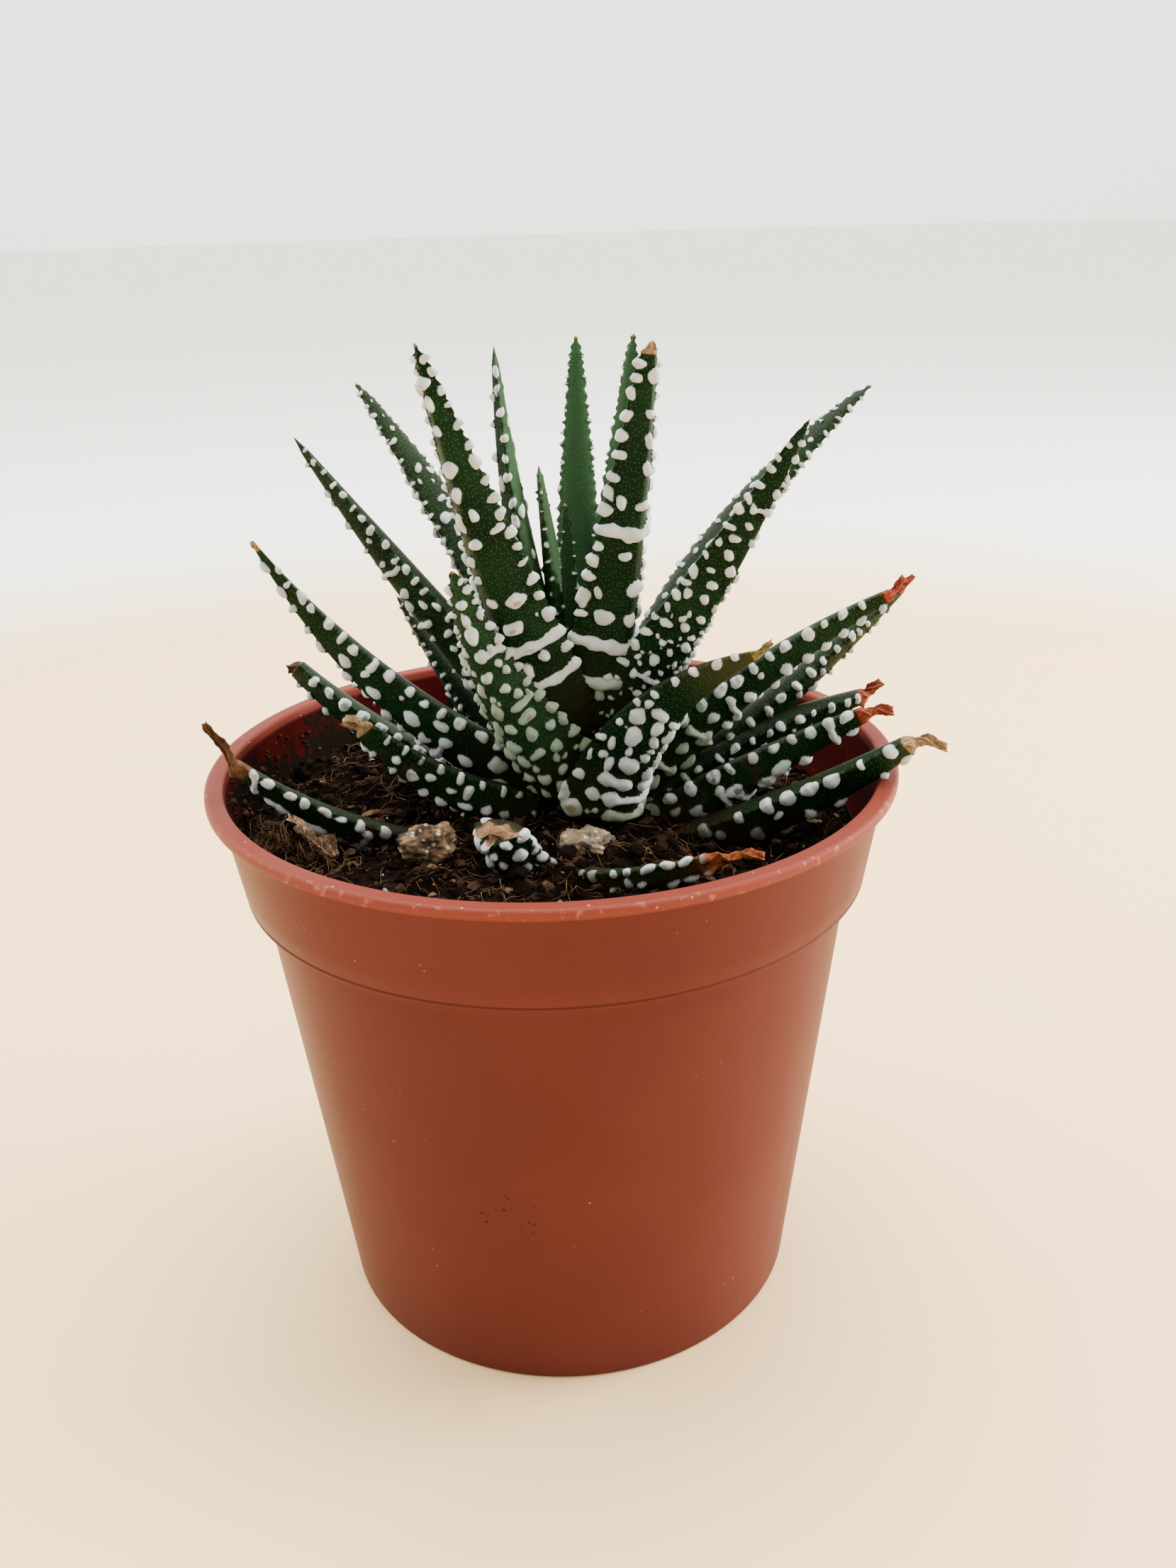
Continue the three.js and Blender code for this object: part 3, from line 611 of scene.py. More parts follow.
def dead_leaf():
    """Papery old leaf, tan with darker ribs along it."""
    shader = Shader("dead_leaf")
    where = shader.places()
    ribs = shader.chart().stretched((4.0, 0.35, 1)).noise(3.0, 3, 0.6)
    mottle = where.noise(350, 3)
    base = ribs.step(0.42, 0.58).mix((0.035, 0.015, 0.006), (0.45, 0.25, 0.115))
    base = (mottle.step(0.54, 0.68) * 0.5).mix(base, (0.03, 0.015, 0.007))
    return shader.dressed(base, 0.75, ribs * 2.0 + mottle, strength=0.7, depth=0.0004)


def stem_bark():
    """Pale brown fleshy stem and roots."""
    shader = Shader("stem_bark")
    rings = shader.places().stretched((0.4, 0.4, 2.0)).noise(400, 3, 0.6)
    base = rings.step(0.35, 0.65).mix((0.045, 0.028, 0.013), (0.14, 0.092, 0.047))
    return shader.dressed(base, 0.8, rings, strength=0.6, depth=0.0004)


def pale_floor():
    """Pale matt floor, warm round the pot and a neutral light grey further away."""
    shader = Shader("pale_floor", specular=0.1)
    where = shader.places()
    near = where.noise(14, 3).mix((0.90, 0.60, 0.30), (0.94, 0.67, 0.36))
    base = where.away().step(0.3, 0.5).mix(near, (0.95, 0.95, 0.90))
    return shader.dressed(base, 0.7)


# Pot
def body_radius(z):
    return POT.foot + (POT.neck - POT.foot) * z / BAND_FOOT


def pot_inner_radius(z):
    lip_inner = POT.rim - POT.lip
    band_inner = POT.band_foot - POT.band_wall
    low = BAND_FOOT + POT.step_low
    high = BAND_FOOT + POT.step_high

    def band_radius(height):
        return band_inner + (lip_inner - band_inner) * (height - BAND_FOOT) / POT.band

    if z <= low:
        return body_radius(z) - POT.wall
    if z >= high:
        return band_radius(z)
    start = body_radius(low) - POT.wall
    return start + (band_radius(high) - start) * (z - low) / (high - low)


def arc(centre, radius, start, end, steps):
    """Points of a rounded corner in the profile, from one angle to another in degrees."""
    turns = [radians(start + (end - start) * i / steps) for i in range(steps + 1)]
    return [(centre[0] + radius * cos(turn), centre[1] + radius * sin(turn)) for turn in turns]


def pot_profile():
    height, rim, foot = POT.height, POT.rim, POT.foot
    ring_inner = foot - POT.ring
    floor_top = POT.rise + POT.floor
    small, edge, lip_round, floor_round = POT.pad_round, POT.edge_round, POT.lip_round, POT.floor_round
    profile = [(0, small)]
    profile += arc((POT.pad - small, small), small, -90, 0, 4)
    profile += [(POT.pad + 0.4, POT.rise), (ring_inner - 0.5, POT.rise)]
    profile += arc((ring_inner + small, small), small, 180, 270, 4)
    profile += arc((foot - 0.5, POT.foot_round), POT.foot_round, -90, -6, 6)
    profile += [(body_radius(z), z) for z in (6, 16, 28, 40, 50, 56)]
    neck = body_radius(BAND_FOOT)
    profile += [(neck - 0.02, BAND_FOOT - 0.25), (neck + 0.25, BAND_FOOT)]
    profile += arc((POT.band_foot - 0.2, BAND_FOOT + POT.band_round), POT.band_round, -90, 60, 6)
    lip_foot = height - POT.lip_thick
    slope = (POT.band_top - POT.band_foot) / (lip_foot - BAND_FOOT)
    for z in (BAND_FOOT + 0.7, BAND_FOOT + 3, BAND_FOOT + 6, BAND_FOOT + 9, lip_foot - 0.5):
        profile.append((POT.band_foot + slope * (z - BAND_FOOT), z))
    profile += [(POT.band_top + 0.1, lip_foot - 0.12), (POT.band_top + 0.4, lip_foot)]
    profile += arc((rim - edge, lip_foot + edge), edge, -90, 0, 5)
    profile += arc((rim - lip_round, height - lip_round), lip_round, 0, 90, 6)
    profile += arc((rim - POT.lip + lip_round, height - lip_round), lip_round, 90, 180, 6)
    profile += [(pot_inner_radius(z), z) for z in (height - 3, height - 7, BAND_FOOT + POT.step_high)]
    profile += [(pot_inner_radius(BAND_FOOT + POT.step_low), BAND_FOOT + POT.step_low)]
    profile += [(pot_inner_radius(z), z) for z in (40, 20, floor_top + 1)]
    wall = pot_inner_radius(floor_top)
    profile += arc((wall - floor_round, floor_top + floor_round), floor_round, 0, -90, 4)
    profile += [(0, floor_top)]
    return profile


def pot_piece():
    mesh = finished("pot_shell", spun(pot_profile(), POT.steps))
    piece = keep("pot_shell", mesh, pot_plastic(), ["pot"])
    drills = bmesh.new()
    for i in range(DRAIN.count):
        angle = 2 * pi * (i + 0.5) / DRAIN.count
        place = Vector((DRAIN.circle * cos(angle), DRAIN.circle * sin(angle), 2)) * MM
        bmesh.ops.create_cone(
            drills, cap_ends=True, segments=DRAIN.sides, radius1=DRAIN.radius * MM,
            radius2=DRAIN.radius * MM, depth=6 * MM, matrix=Matrix.Translation(place),
        )
    drill_mesh = to_mesh("drills", drills)
    drill = in_scene("drills", drill_mesh)
    cut = piece.modifiers.new("drain_holes", "BOOLEAN")
    cut.operation = "DIFFERENCE"
    cut.object = drill
    cut.solver = "EXACT"
    bpy.context.view_layer.update()
    evaluated = piece.evaluated_get(bpy.context.evaluated_depsgraph_get())
    drilled = bpy.data.meshes.new_from_object(evaluated)
    piece.modifiers.clear()
    piece.data = drilled
    drilled.name = "pot_shell"
    bpy.data.objects.remove(drill)
    bpy.data.meshes.remove(drill_mesh)


# Leaves
def polar_point(place):
    angle = radians(place[0])
    return Vector((STEM_X + place[1] * cos(angle), STEM_Y + place[1] * sin(angle), place[2]))


def leaf_frame(leaf, s):
    """Point, direction, across and inner side of the leaf at a share of its length."""
    root = polar_point(leaf.root)
    run = polar_point(leaf.tip) - root
    along = run.normalized()
    azimuth = radians(leaf.tip[0])
    side = Vector((-sin(azimuth), cos(azimuth), 0))
    side = (side - along * side.dot(along)).normalized()
    inner = along.cross(side)
    bow = inner * leaf.bend + side * leaf.sway
    point = root + run * s + bow * (4 * s * (1 - s))
    tangent = (run + bow * (4 * (1 - 2 * s))).normalized()
    across = (side - tangent * side.dot(tangent)).normalized()
    across = Matrix.Rotation(-radians(leaf.roll), 3, tangent) @ across
    return point, tangent, across, tangent.cross(across)


def leaf_length(leaf):
    return (polar_point(leaf.tip) - polar_point(leaf.root)).length


def leaf_width(leaf, s):
    end = max(leaf.blunt, TIP_WIDTH / leaf.width)
    point = 1 if leaf.dry else min(1, (1.01 - s) / TIP_POINT) ** 0.8
    return leaf.width * (1 - (1 - end) * s ** TAPER) * point


def near_band(leaf, place, clear):
    """Whether a place along the leaf is too near to one of its white bands."""
    return any(abs(place - band * leaf_length(leaf)) < clear for band in leaf.bands)


def with_gaps(leaf, studs):
    """The same tubercles, each made small enough to leave a gap to those before it."""
    length = leaf_length(leaf)
    kept = []
    for along, across, reach_across, reach_along in studs:
        half = ARC_SHARE * leaf_width(leaf, along / length)
        fit = 1.0
        for other in kept:
            if abs(other[0] - along) < STUD_FAR:
                apart = hypot(along - other[0], (across - other[1]) * half)
                mean = sqrt(reach_across * reach_along)
                other_mean = sqrt(other[2] * other[3])
                fit = min(fit, (apart - STUD_GAP - other_mean) / mean)
        if fit > SMALLEST_FIT:
            kept.append((along, across, reach_across * fit, reach_along * fit))
    return kept


def edge_studs(leaf, draw):
    """The tubercles along each margin: (place along, share across, reach across, reach along)."""
    length = leaf_length(leaf)
    pitch, size = leaf.edge
    studs = []
    for side in (-1, 1):
        place = length * leaf.bare + draw.uniform(0, pitch)
        while place < length * (1 - TIP_BARE / 2):
            share = leaf_width(leaf, place / length) / leaf.width
            radius = size * draw.uniform(0.7, 1.2) * (0.5 + 0.5 * share)
            stretch = exp(draw.uniform(-0.2, 0.35)) * leaf.tall
            if not near_band(leaf, place, BAND_BARE + radius):
                studs.append((place, side * draw.uniform(0.92, 1.0), radius / stretch, radius * stretch))
            place += pitch * draw.uniform(0.75, 1.25) * (0.7 + 0.3 * share)
    return studs


def face_studs(leaf, draw):
    """The tubercles of the outer face in staggered rows, and the bridges where neighbours merge."""
    length = leaf_length(leaf)
    pitch, gap, size, merge, bare = leaf.studs
    studs, bridges = [], []
    reach = leaf.reach
    place = length * leaf.bare
    row = 0
    clear = BAND_BARE + 1.45 * size
    end = min(leaf.top, 1 - TIP_BARE * (1 - 2 * min(0.5, leaf.blunt)))
    while place < length * end:
        if near_band(leaf, place, clear):
            place += 0.25 * clear
            continue
        s = place / length
        wide = leaf_width(leaf, s)
        wavy = s < leaf.wavy
        jitter = 0.08 if wavy else 0.24
        intervals = max(2, round(1.3 * wide * reach / gap))
        offset = 0.5 if row % 2 and intervals > 2 else 0
        grown = size * (0.5 + 0.5 * wide / leaf.width)
        grown *= leaf.small + (1 - leaf.small) * min(1, s / 0.4)
        before = None
        for k in range(intervals + 1):
            across = reach * (2 * (k + offset) / intervals - 1 + draw.uniform(-0.3, 0.3) / intervals)
            radius = grown * draw.uniform(0.68, 1.15)
            stretch = exp(draw.uniform(-0.25, 0.3)) * leaf.tall
            along = place + draw.uniform(-jitter, jitter) * pitch
            skipped = draw.random() < bare
            merged = draw.random() < (0.5 if wavy else merge)
            if 0.88 < abs(across) < 1.12 or abs(across) > reach or skipped:
                before = None
                continue
            studs.append((along, across, radius / stretch, radius * stretch))
            if before and merged and abs(before[0] - along) < 0.3 * pitch:
                bridges.append((before, (along, across), 0.55 * radius))
            before = (along, across)
        place += pitch * draw.uniform(0.85, 1.15) * (0.75 + 0.25 * wide / leaf.width)
        row += 1
    return studs, bridges


def band_bridges(leaf, draw):
    """Whole bands across the outer face, as a chain of bridges."""
    bridges = []
    for s in leaf.bands:
        radius = leaf.studs[2] * 0.64
        dip = draw.uniform(0.1, 0.6)
        before = None
        for k in range(7):
            across = -0.96 + 1.92 * k / 6
            along = s * leaf_length(leaf) - dip * (1 - across * across) + draw.uniform(-0.25, 0.25)
            if before:
                bridges.append((before, (along, across), radius * draw.uniform(0.8, 1.15)))
            before = (along, across)
    return bridges


def unit_section(s, columns_above):
    """Angles round the leaf, and its unit-width section there: across and inner coordinates."""
    below = np.linspace(0, pi, COLUMNS_BELOW + 1)
    above = np.linspace(pi, 2 * pi, columns_above + 1)[1:]
    turn = np.concatenate([below, above])
    c = np.cos(turn)
    keel = KEEL_POWER - KEEL_FALL * s
    lower = SETTLE * THICK - THICK * (1 - np.abs(c) ** keel)
    higher = SETTLE * THICK + CROWN * (1 - np.abs(c) ** CROWN_POWER)
    z = np.where(turn <= pi, lower, higher)
    return turn, 0.5 * c, z


def arc_places(x, z):
    """Signed distance round the section from the keel, both ways to the middle of the upper face."""
    step = np.hypot(np.diff(x), np.diff(z))
    run = np.concatenate([[0], np.cumsum(step)])
    keel = run[COLUMNS_BELOW // 2]
    place = keel - run
    back = run[-1] - run + keel
    return np.where(np.abs(place) <= back, place, back)


def dry_rings(leaf):
    """Rings of the withered end, which turns to its own heading, twists and narrows."""
    dry_length, azimuth, rise, dry_width = leaf.dry
    azimuth, rise = radians(azimuth), radians(rise)
    level = cos(rise)
    heading = Vector((cos(azimuth) * level, sin(azimuth) * level, sin(rise)))
    end, tangent, across = leaf_frame(leaf, 1)[:3]
    end_width = leaf_width(leaf, 1)
    steps = max(round(dry_length / RING_STEP), 4)
    rings = []
    for i in range(1, steps + 1):
        share = i / steps
        place = dry_length * share
        turned = tangent.lerp(heading, sqrt(share)).normalized()
        side = (across - turned * across.dot(turned)).normalized()
        side = Matrix.Rotation(DRY_TWIST * share * min(1, dry_length / 4), 3, turned) @ side
        centre = end + turned * place + side * (0.1 * dry_length * sin(4.5 * share))
        ragged = 1 + 0.5 * noise.noise(Vector((place * 1.9, azimuth * 9, 0)))
        narrow = dry_width * (1 - (0.3 + 0.05 * dry_length) * share) * ragged
        withered = min(1, place / min(dry_length / 3, DRY_START))
        wide = end_width + (narrow - end_width) * withered
        rings.append((centre, side, turned.cross(side), wide, withered, leaf_length(leaf) + place))
    return rings


def leaf_rings(leaf):
    """Centre, across, inner side, width, dry share and place along of every ring."""
    length = leaf_length(leaf)
    count = round(length / RING_STEP)
    rings = []
    for i in range(count + 1):
        s = i / count
        point, _, across, inner = leaf_frame(leaf, s)
        rings.append((point, across, inner, leaf_width(leaf, s), 0.0, s * length))
    return rings + (dry_rings(leaf) if leaf.dry else [])


def filler_studs(leaf, draw):
    """Small tubercles scattered between the others, up to a share of the leaf's length."""
    attempts, top = leaf.fill
    studs = []
    for i in range(attempts):
        s = draw.uniform(leaf.bare, top)
        radius = leaf.studs[2] * draw.uniform(0.35, 0.6)
        stretch = exp(draw.uniform(-0.15, 0.3))
        studs.append((s * leaf_length(leaf), draw.uniform(-0.85, 0.85), radius / stretch, radius * stretch))
    return studs


def stud_field(leaf, seed, round_place, along):
    """Distance inside the tubercles, in millimetres, for every point of the leaf."""
    draw = random.Random(seed)
    studs, bridges = face_studs(leaf, draw)
    studs = with_gaps(leaf, edge_studs(leaf, draw) + studs + filler_studs(leaf, draw))
    bridges += band_bridges(leaf, draw)
    turn = 2.4 * seed
    q = round_place + STUD_WARP * np.sin(2.1 * along + 1.7 * round_place + turn)
    t = along + STUD_WARP * np.sin(2.4 * round_place - 1.9 * along + 1.7 * turn)
    total = np.zeros_like(q)

    def put_in_place(stud):
        """Signed distance from the keel at the tubercle's place along."""
        return stud[1] * np.interp(stud[0], along[:, 0], round_place[:, 0])

    def weight(inside):
        return np.exp(np.clip(inside, -STUD_FAR, STUD_FAR) / STUD_BLEND)

    for stud in studs:
        reach_across, reach_along = stud[2:]
        spread = np.hypot((q - put_in_place(stud)) / reach_across, (t - stud[0]) / reach_along)
        inside = (1 - spread) * min(reach_across, reach_along)
        total += weight(inside)
    for start, end, radius in bridges:
        first = np.array([put_in_place(start), start[0]])
        run = np.array([put_in_place(end), end[0]]) - first
        share = np.clip(((q - first[0]) * run[0] + (t - first[1]) * run[1]) / (run @ run), 0, 1)
        inside = radius - np.hypot(q - first[0] - share * run[0], t - first[1] - share * run[1])
        total += weight(inside)
    return STUD_BLEND * np.log(total + 1e-18)


def ring_section(leaf, ring, columns_above, seed):
    """Points of one ring, the way out from each, and their signed distance round from the keel."""
    centre, across, inner, wide, dry, place = ring
    length = leaf_length(leaf)
    turn, x, z = unit_section(min(place / length, 1), columns_above)
    x, z = x * wide, z * wide
    round_place = arc_places(x, z)
    margin = min(MARGIN_ROUND, wide * MARGIN_SHARE)
    x = x * (1 - 2 * margin / wide) + margin * np.cos(turn)
    z = z * (1 - 2 * margin / wide) - margin * np.sin(turn)
    thick = max(wide * DRY_THICK, DRY_THINNEST)
    x = x * (1 - dry) + wide / 2 * np.cos(turn) * dry
    z = z * (1 - dry) - thick / 2 * np.sin(turn) * dry
    teeth = 0.5 + 0.5 * sin(2 * pi * place / TEETH_PITCH + 2 * sin(place * 0.9 + seed))
    x = x + TEETH_RISE * teeth * (1 - dry) * np.cos(turn) ** TEETH_POWER
    z = z + DRY_CRUMPLE * dry * wide * np.sin(7 * np.cos(turn) + place)
    notch = 0
    if dry and leaf.dry[0] > 1:
        notch = DRY_NOTCH * max(0, place - length) / leaf.dry[0] * dry
    across, inner = np.array(across), np.array(inner)
    points = np.array(centre) + x[:, None] * across + z[:, None] * inner
    points -= (notch * (1 - np.abs(np.cos(turn))))[:, None] * np.cross(across, inner)
    outward = np.cos(turn)[:, None] * across - np.maximum(np.sin(turn), -0.4)[:, None] * inner
    return points, outward, round_place


def with_ends(values):
    """The first and the last ring once more, for the points that close the leaf."""
    return np.concatenate([values[:1], values, values[-1:]])


def leaf_values(leaf, inside, along, turn):
    """What the skin's material reads at every point: stud in millimetres, and shares."""
    length = leaf_length(leaf)
    begins, turning, late = DRY_LOOKS[leaf.kind][1:]
    end_place = length + (late if leaf.dry else GREEN_POINT)
    young = leaf.young
    upper_face = np.clip(-4 * np.sin(turn), 0, 1)
    upper = 0 * upper_face if leaf.fresh is None else np.maximum(upper_face, leaf.fresh)
    worn = WORN_SHARE * upper_face if leaf.fresh is None else 0 * upper_face
    scar_middle, scar_reach = leaf.scar
    values = dict(
        stud=inside, along=along / length,
        young=np.clip((young - along / length) / (0.5 * young) + 0.5, 0, 1),
        upper=np.broadcast_to(upper, inside.shape), worn=np.broadcast_to(worn, inside.shape),
        dryness=np.clip((along - end_place + begins) / begins, 0, 1),
        turned=np.clip((along - end_place + turning) / turning, 0, 1),
        scar=np.exp(-((along / length - scar_middle) / scar_reach) ** 2),
    )
    return {label: with_ends(value) for label, value in values.items()}


def leaf_piece(name, leaf, seed):
    rings = leaf_rings(leaf)
    columns_above = COLUMNS_STUDDED if leaf.reach > 1 else COLUMNS_ABOVE
    sections = [ring_section(leaf, ring, columns_above, seed) for ring in rings]
    base, outward, round_place = (np.array(part) for part in zip(*sections))
    columns = round_place.shape[1]
    along = np.repeat([[ring[-1]] for ring in rings], columns, axis=1)
    live = 1 - np.clip(along - leaf_length(leaf), 0, 1)
    inside = np.where(live > 0.01, stud_field(leaf, seed, round_place, along), -1.0)
    share = np.clip(inside / STUD_EDGE, 0, 1)
    rise = STUD_RISE * np.sqrt(share * (2 - share)) * live
    points = base + outward * rise[:, :, None]
    root, tangent = leaf_frame(leaf, 0)[:2]
    start = np.array(root - tangent * ROOT_CAP)
    last = points[-1].mean(axis=0)
    ahead = Vector(last - points[-4].mean(axis=0)).normalized()
    finish = last + np.array(ahead) * TIP_CAP
    start, finish = (np.broadcast_to(end, (1, columns, 3)) for end in (start, finish))
    points = np.concatenate([start, points, finish])
    values = leaf_values(leaf, inside, along, unit_section(0, columns_above)[0])
    chart = with_ends(np.stack([round_place, along], axis=-1))
    return finished(name, laid_grid("leaf", points * MM, values, chart))


def leaf_pieces():
    skins = {kind: leaf_skin(kind) for kind in DRY_LOOKS}
    for number, leaf in enumerate(LEAVES, 1):
        node = f"leaf_{number:02d}"
        piece = node + "_skin"
        keep(piece, leaf_piece(piece, leaf, number), skins[leaf.kind], [node])


# Soil
def soil_height(x, y):
    """Height of the soil without its crumbs, in millimetres."""
    away = hypot(x - SOIL.mound_x, y - SOIL.mound_y) / SOIL.spread
    share = min(max((x - SOIL.dip_start) / (SOIL.dip_end - SOIL.dip_start), 0), 1)
    dip = share * share * (3 - 2 * share)
    return SOIL.level + SOIL.mound * exp(-away * away) - SOIL.dip * dip


def soil_top(x, y):
    """Height of the soil with its clods and grains, in millimetres."""
    clods = noise.fractal(Vector((x, y, 7.3)) * 0.22, 0.9, 2.1, 5)
    grains = noise.noise(Vector((x, y, 1.7)) * 1.9)
    return soil_height(x, y) + (CLOD_HEIGHT * clods + GRAIN_HEIGHT * grains)


def soil_body():
    floor_top = POT.rise + POT.floor + SOIL.over_floor
    wall = [(0, floor_top), (pot_inner_radius(floor_top) - SOIL.gap, floor_top)]
    wall += [(pot_inner_radius(z) - SOIL.gap, z) for z in (20, 40, BAND_FOOT + POT.step_low)]
    edge = pot_inner_radius(SOIL.level) - SOIL.edge_gap
    top = [(edge * (1 - i / SOIL.rings), SOIL.level) for i in range(SOIL.rings + 1)]
    shape = spun(wall + top, SOIL.steps)
    bmesh.ops.remove_doubles(shape, verts=shape.verts, dist=SEAM)
    for vert in shape.verts:
        if vert.co.z > (SOIL.level - 0.5) * MM:
            x, y = vert.co.x / MM, vert.co.y / MM
            vert.co.z = soil_top(x, y) * MM
            if hypot(x, y) > edge - 0.5:
                vert.co.x *= pot_inner_radius(vert.co.z / MM) / edge
                vert.co.y *= pot_inner_radius(vert.co.z / MM) / edge
    keep("soil_bed", finished("soil_bed", shape), peat(), ["soil"])


def lump(size, flat, draw):
    """One angular crumb with a few faces, in metres, about the origin."""
    shape = bmesh.new()
    bmesh.ops.create_icosphere(shape, subdivisions=1, radius=size * MM)
    for vert in shape.verts:
        vert.co *= draw.uniform(0.65, 1.25)
    spread = Matrix.Diagonal((draw.uniform(0.8, 1.5), draw.uniform(0.6, 1.1), flat, 1))
    turn = Matrix.Rotation(draw.uniform(0, 6.3), 4, "Z") @ Matrix.Rotation(draw.uniform(-0.6, 0.6), 4, "X")
    bmesh.ops.transform(shape, matrix=turn @ spread, verts=shape.verts)
    return shape


def soil_spot(draw, reach=SOIL_REACH):
    """A random place on the soil, in millimetres."""
    angle = draw.uniform(0, 2 * pi)
    distance = reach * sqrt(draw.random())
    x, y = distance * cos(angle), distance * sin(angle)
    return x, y, soil_top(x, y)


def wall_spot(draw):
    """A random place low on the inner wall of the pot, in millimetres."""
    z = SOIL.level + 6.8 * draw.random() ** 1.7
    angle = draw.uniform(1.9, 4.1)
    radius = pot_inner_radius(z) - 0.15
    return radius * cos(angle), radius * sin(angle), z


def loose_bits(name, materials, spot):
    """Many small crumbs strewn on the soil or the wall, joined in one piece."""
    family, count, smallest, largest, least, most, seed = LOOSE_BITS[name]
    draw = random.Random(seed)
    whole = bmesh.new()
    batch = bmesh.new()
    for i in range(count):
        size = smallest * (largest / smallest) ** (draw.random() ** 2.2)
        x, y, z = spot(draw)
        bit = lump(size, draw.uniform(least, most), draw)
        bmesh.ops.translate(bit, vec=Vector((x, y, z + size * 0.25)) * MM, verts=bit.verts)
        stamp(batch, bit)
        if i % 100 == 99:
            stamp(whole, batch)
            batch = bmesh.new()
    stamp(whole, batch)
    keep(name, to_mesh(name, whole), materials[family], smooth=False)


def fibre(draw, tangled):
    """One thin root fibre, as a bmesh, on the soil or in the tangle by the old leaf."""
    x, y, z = soil_spot(draw, 37)
    if tangled:
        x, y = draw.gauss(TANGLE_X, 2.6), draw.gauss(TANGLE_Y, 3.2)
        z = soil_top(x, y) + draw.uniform(0, 1.6)
    heading = draw.uniform(0, 2 * pi)
    curl = draw.uniform(-0.5, 0.5)
    length = draw.uniform(2.0, 8.0)
    thick = draw.uniform(0.025, 0.085)
    rows = []
    place = Vector((x, y, z + 0.25))
    for i in range(FIBRE_STEPS + 1):
        share = i / FIBRE_STEPS
        ring = []
        side = Vector((-sin(heading), cos(heading), 0))
        radius = thick * (1 - 0.6 * share)
        for k in range(5):
            angle = 2 * pi * k / 4
            up = Vector((0, 0, radius * sin(angle)))
            ring.append(place + side * (radius * cos(angle)) + up)
        rows.append(ring)
        heading += curl * draw.uniform(0.2, 1.4)
        ahead = place + Vector((cos(heading), sin(heading), 0)) * (length / FIBRE_STEPS)
        if hypot(ahead.x, ahead.y) < SOIL_REACH:
            lift = (2.4 if tangled else 0.8) * sin(pi * share) * draw.random()
            ahead.z = soil_top(ahead.x, ahead.y) + 0.2 + lift
            place = ahead
    return laid_grid("fibre", np.array(rows) * MM)


def fibres(material):
    draw = random.Random(FIBRE_SEED)
    whole = bmesh.new()
    for i in range(FIBRES + TANGLE):
        stamp(whole, fibre(draw, i >= FIBRES))
    keep("soil_fibres", finished("soil_fibres", whole), material)


def soil_pieces():
    soil_body()
    materials = {name: crumb(name) for name in FAMILIES}
    for name in LOOSE_BITS:
        loose_bits(name, materials, wall_spot if name == "wall_crumbs" else soil_spot)
    fibres(materials["fibre_brown"])


# Perlite, scrap and stem
def perlite_pieces():
    stone = perlite_stone()
    for index, (x, y, z, size) in enumerate(PERLITE):
        shape = bmesh.new()
        bmesh.ops.create_icosphere(shape, subdivisions=5, radius=1.0)
        for vert in shape.verts:
            way = vert.co.normalized()
            lumps = noise.noise(way * 1.7 + Vector((index * 5.0, 0, 0)))
            pits = noise.noise(way * 6.0 + Vector((0, index * 7.0, 0)))
            grain = noise.noise(way * 15.0 + Vector((index * 3.0, 0, 2)))
            reach = size * (0.97 + 0.34 * lumps + 0.14 * pits + 0.06 * grain)
            place = [mid + flat * part * reach for mid, flat, part in zip((x, y, z), PERLITE_FLAT, way)]
            vert.co = Vector(place) * MM
        mesh = finished(f"perlite_grain_{index + 1}", shape)
        keep(f"perlite_grain_{index + 1}", mesh, stone, [f"perlite_{index + 1}"])


def scrap_piece():
    """The curled strip of a dead leaf, as a thin closed shell."""
    start, over, end = (Vector(place) for place in (SCRAP.start, SCRAP.over, SCRAP.end))
    rows, columns = 60, 49
    points = np.zeros((rows + 2, columns, 3))
    chart = np.zeros((rows + 2, columns, 2))
    for i in range(rows):
        share = i / (rows - 1)
        centre = start * (1 - share) ** 2 + over * (2 * share * (1 - share)) + end * share ** 2
        along = ((over - start) * (1 - share) + (end - over) * share).normalized()
        across = Vector((0, 0, 1)).cross(along).normalized()
        up = along.cross(across)
        frayed = 1 + 0.4 * noise.noise(Vector((share * 11, 0, 5.3)))
        half = SCRAP.width / 2 * frayed * (0.25 + 0.6 * sin(pi * (0.12 + 0.76 * share)))
        for k in range(columns):
            turn = 2 * pi * k / (columns - 1)
            c = cos(turn)
            curl = 0.9 * half * c * c - 0.5 * half + 0.3 * sin(9 * c + 3 * sin(5 * share))
            ripple = 0.7 * noise.noise(Vector((c * 1.6, share * 6, 3.1)))
            thick = SCRAP.thick / 2 * sin(turn)
            points[i + 1, k] = centre + across * (half * c) + up * (curl + ripple + thick)
            chart[i + 1, k] = (half * c, share * 14)
    points[0] = points[1].mean(axis=0)
    points[-1] = points[-2].mean(axis=0)
    chart[0], chart[-1] = chart[1], chart[-2]
    shape = laid_grid("old_leaf", points * MM, chart=chart)
    keep("old_leaf", finished("old_leaf", shape), dead_leaf(), ["old_leaf_scrap"])


def dress_stem():
    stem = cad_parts["stem"]
    bark = stem_bark()
    for slot in stem.material_slots:
        slot.material = bark


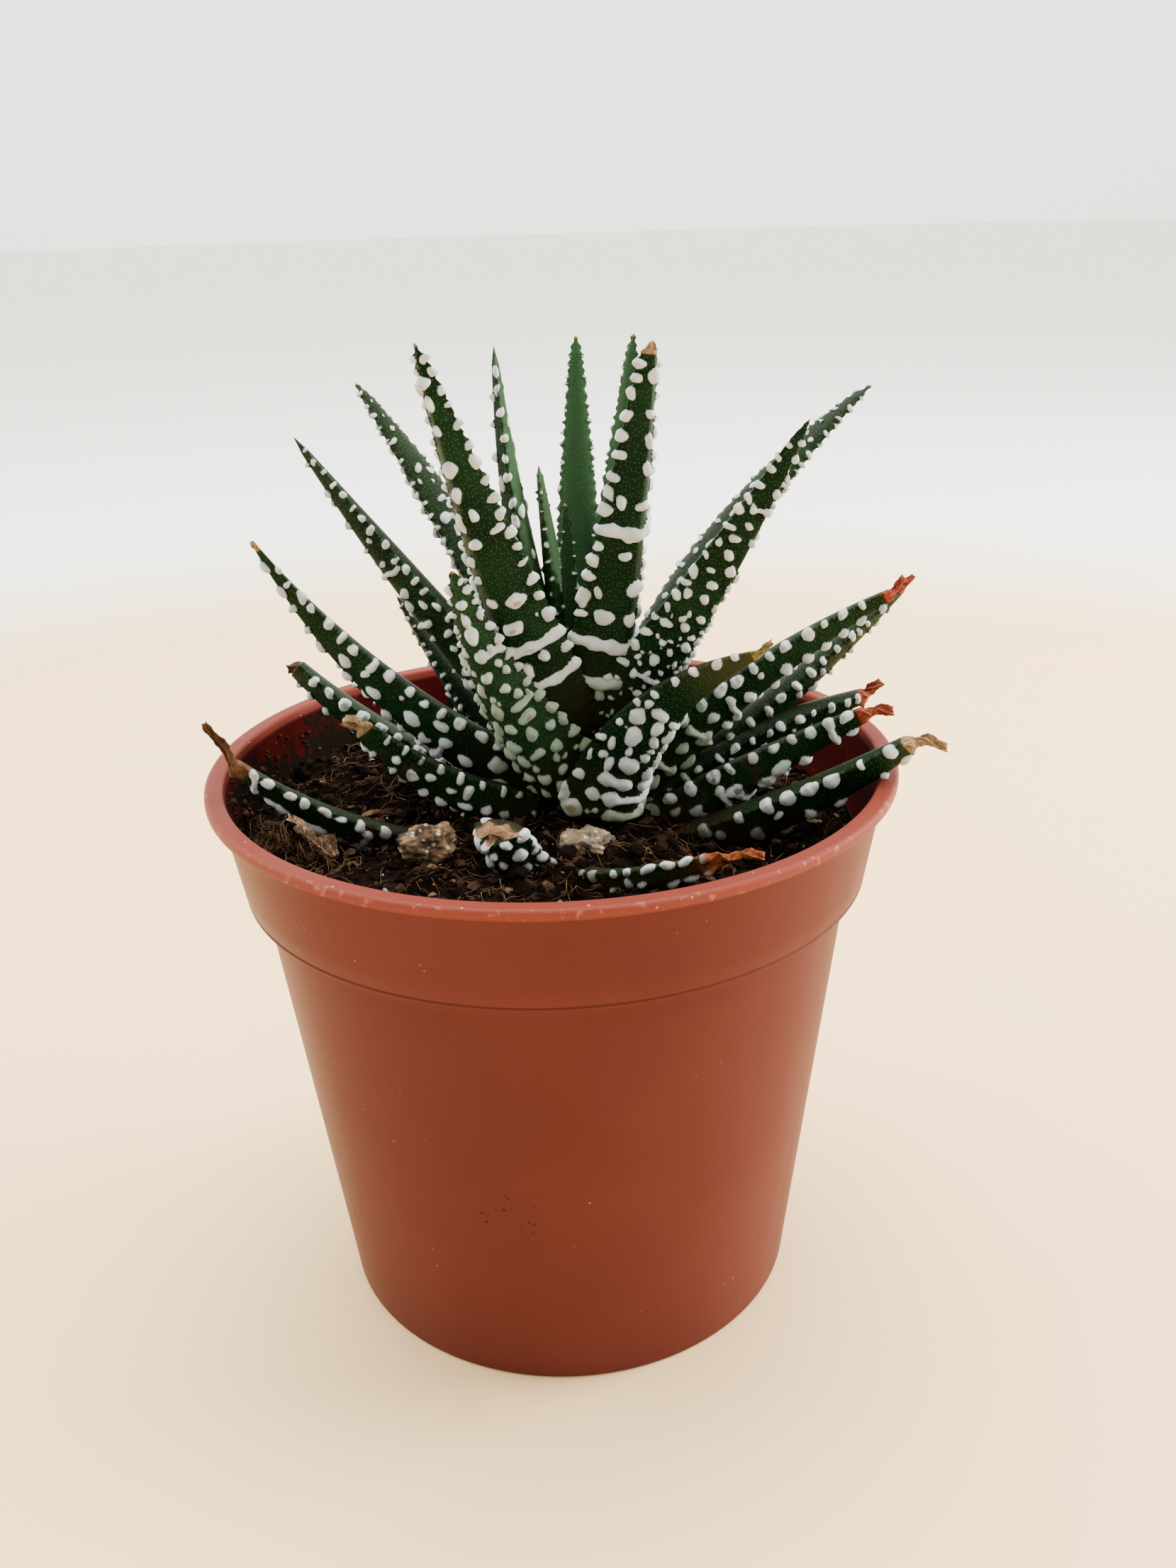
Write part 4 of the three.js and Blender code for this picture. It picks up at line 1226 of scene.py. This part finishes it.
# Set
def floor():
    shape = bmesh.new()
    bmesh.ops.create_circle(shape, cap_ends=True, segments=96, radius=FLOOR_RADIUS)
    mesh = to_mesh("floor", shape)
    mesh.materials.append(pale_floor())
    in_scene("floor", mesh)


def soft_light(name, place, size, power, colour):
    lamp = bpy.data.lights.new(name, "AREA")
    lamp.shape = "DISK"
    lamp.size = size
    lamp.energy = power
    lamp.color = colour
    holder = in_scene(name, lamp)
    holder.location = place
    aim = Vector(LAMP_TARGET) - Vector(place)
    holder.rotation_euler = aim.to_track_quat("-Z", "Y").to_euler()


def lights():
    """A bright room all round that is dimmer on the side of the camera, and three soft lamps."""
    world = bpy.data.worlds.new("pale_room")
    world.use_nodes = True
    bpy.context.scene.world = world
    nodes = Nodes(world.node_tree)
    background = world.node_tree.nodes["Background"]
    nodes.feed(background.inputs["Color"], ROOM_COLOUR)
    way = nodes.node("TexCoord", output="Generated")
    level = way.part("Y") * ROOM_AWAY + ROOM_LEVEL + way.part("Z") * ROOM_UP
    nodes.feed(background.inputs["Strength"], level)
    for name, lamp in LAMPS.items():
        soft_light(name, *lamp)


def camera():
    ahead = Vector((
        sin(CAMERA_YAW) * cos(CAMERA_PITCH),
        cos(CAMERA_YAW) * cos(CAMERA_PITCH),
        -sin(CAMERA_PITCH),
    ))
    level = Vector((cos(CAMERA_YAW), -sin(CAMERA_YAW), 0))
    upright = level.cross(ahead)
    right = level * cos(CAMERA_ROLL) + upright * sin(CAMERA_ROLL)
    top = upright * cos(CAMERA_ROLL) - level * sin(CAMERA_ROLL)
    lens = bpy.data.cameras.new("photo_camera")
    lens.sensor_fit = "VERTICAL"
    lens.sensor_height = SENSOR
    lens.lens = FOCAL_PIXELS / IMAGE_HEIGHT * SENSOR
    lens.clip_start = 0.01
    holder = in_scene("photo_camera", lens)
    turned = Matrix((right, top, -ahead)).transposed().to_4x4()
    holder.matrix_world = Matrix.Translation(CAMERA_PLACE) @ turned
    bpy.context.scene.camera = holder


camera()
floor()
lights()
pot_piece()
leaf_pieces()
soil_pieces()
perlite_pieces()
scrap_piece()
dress_stem()

bpy.context.view_layer.update()
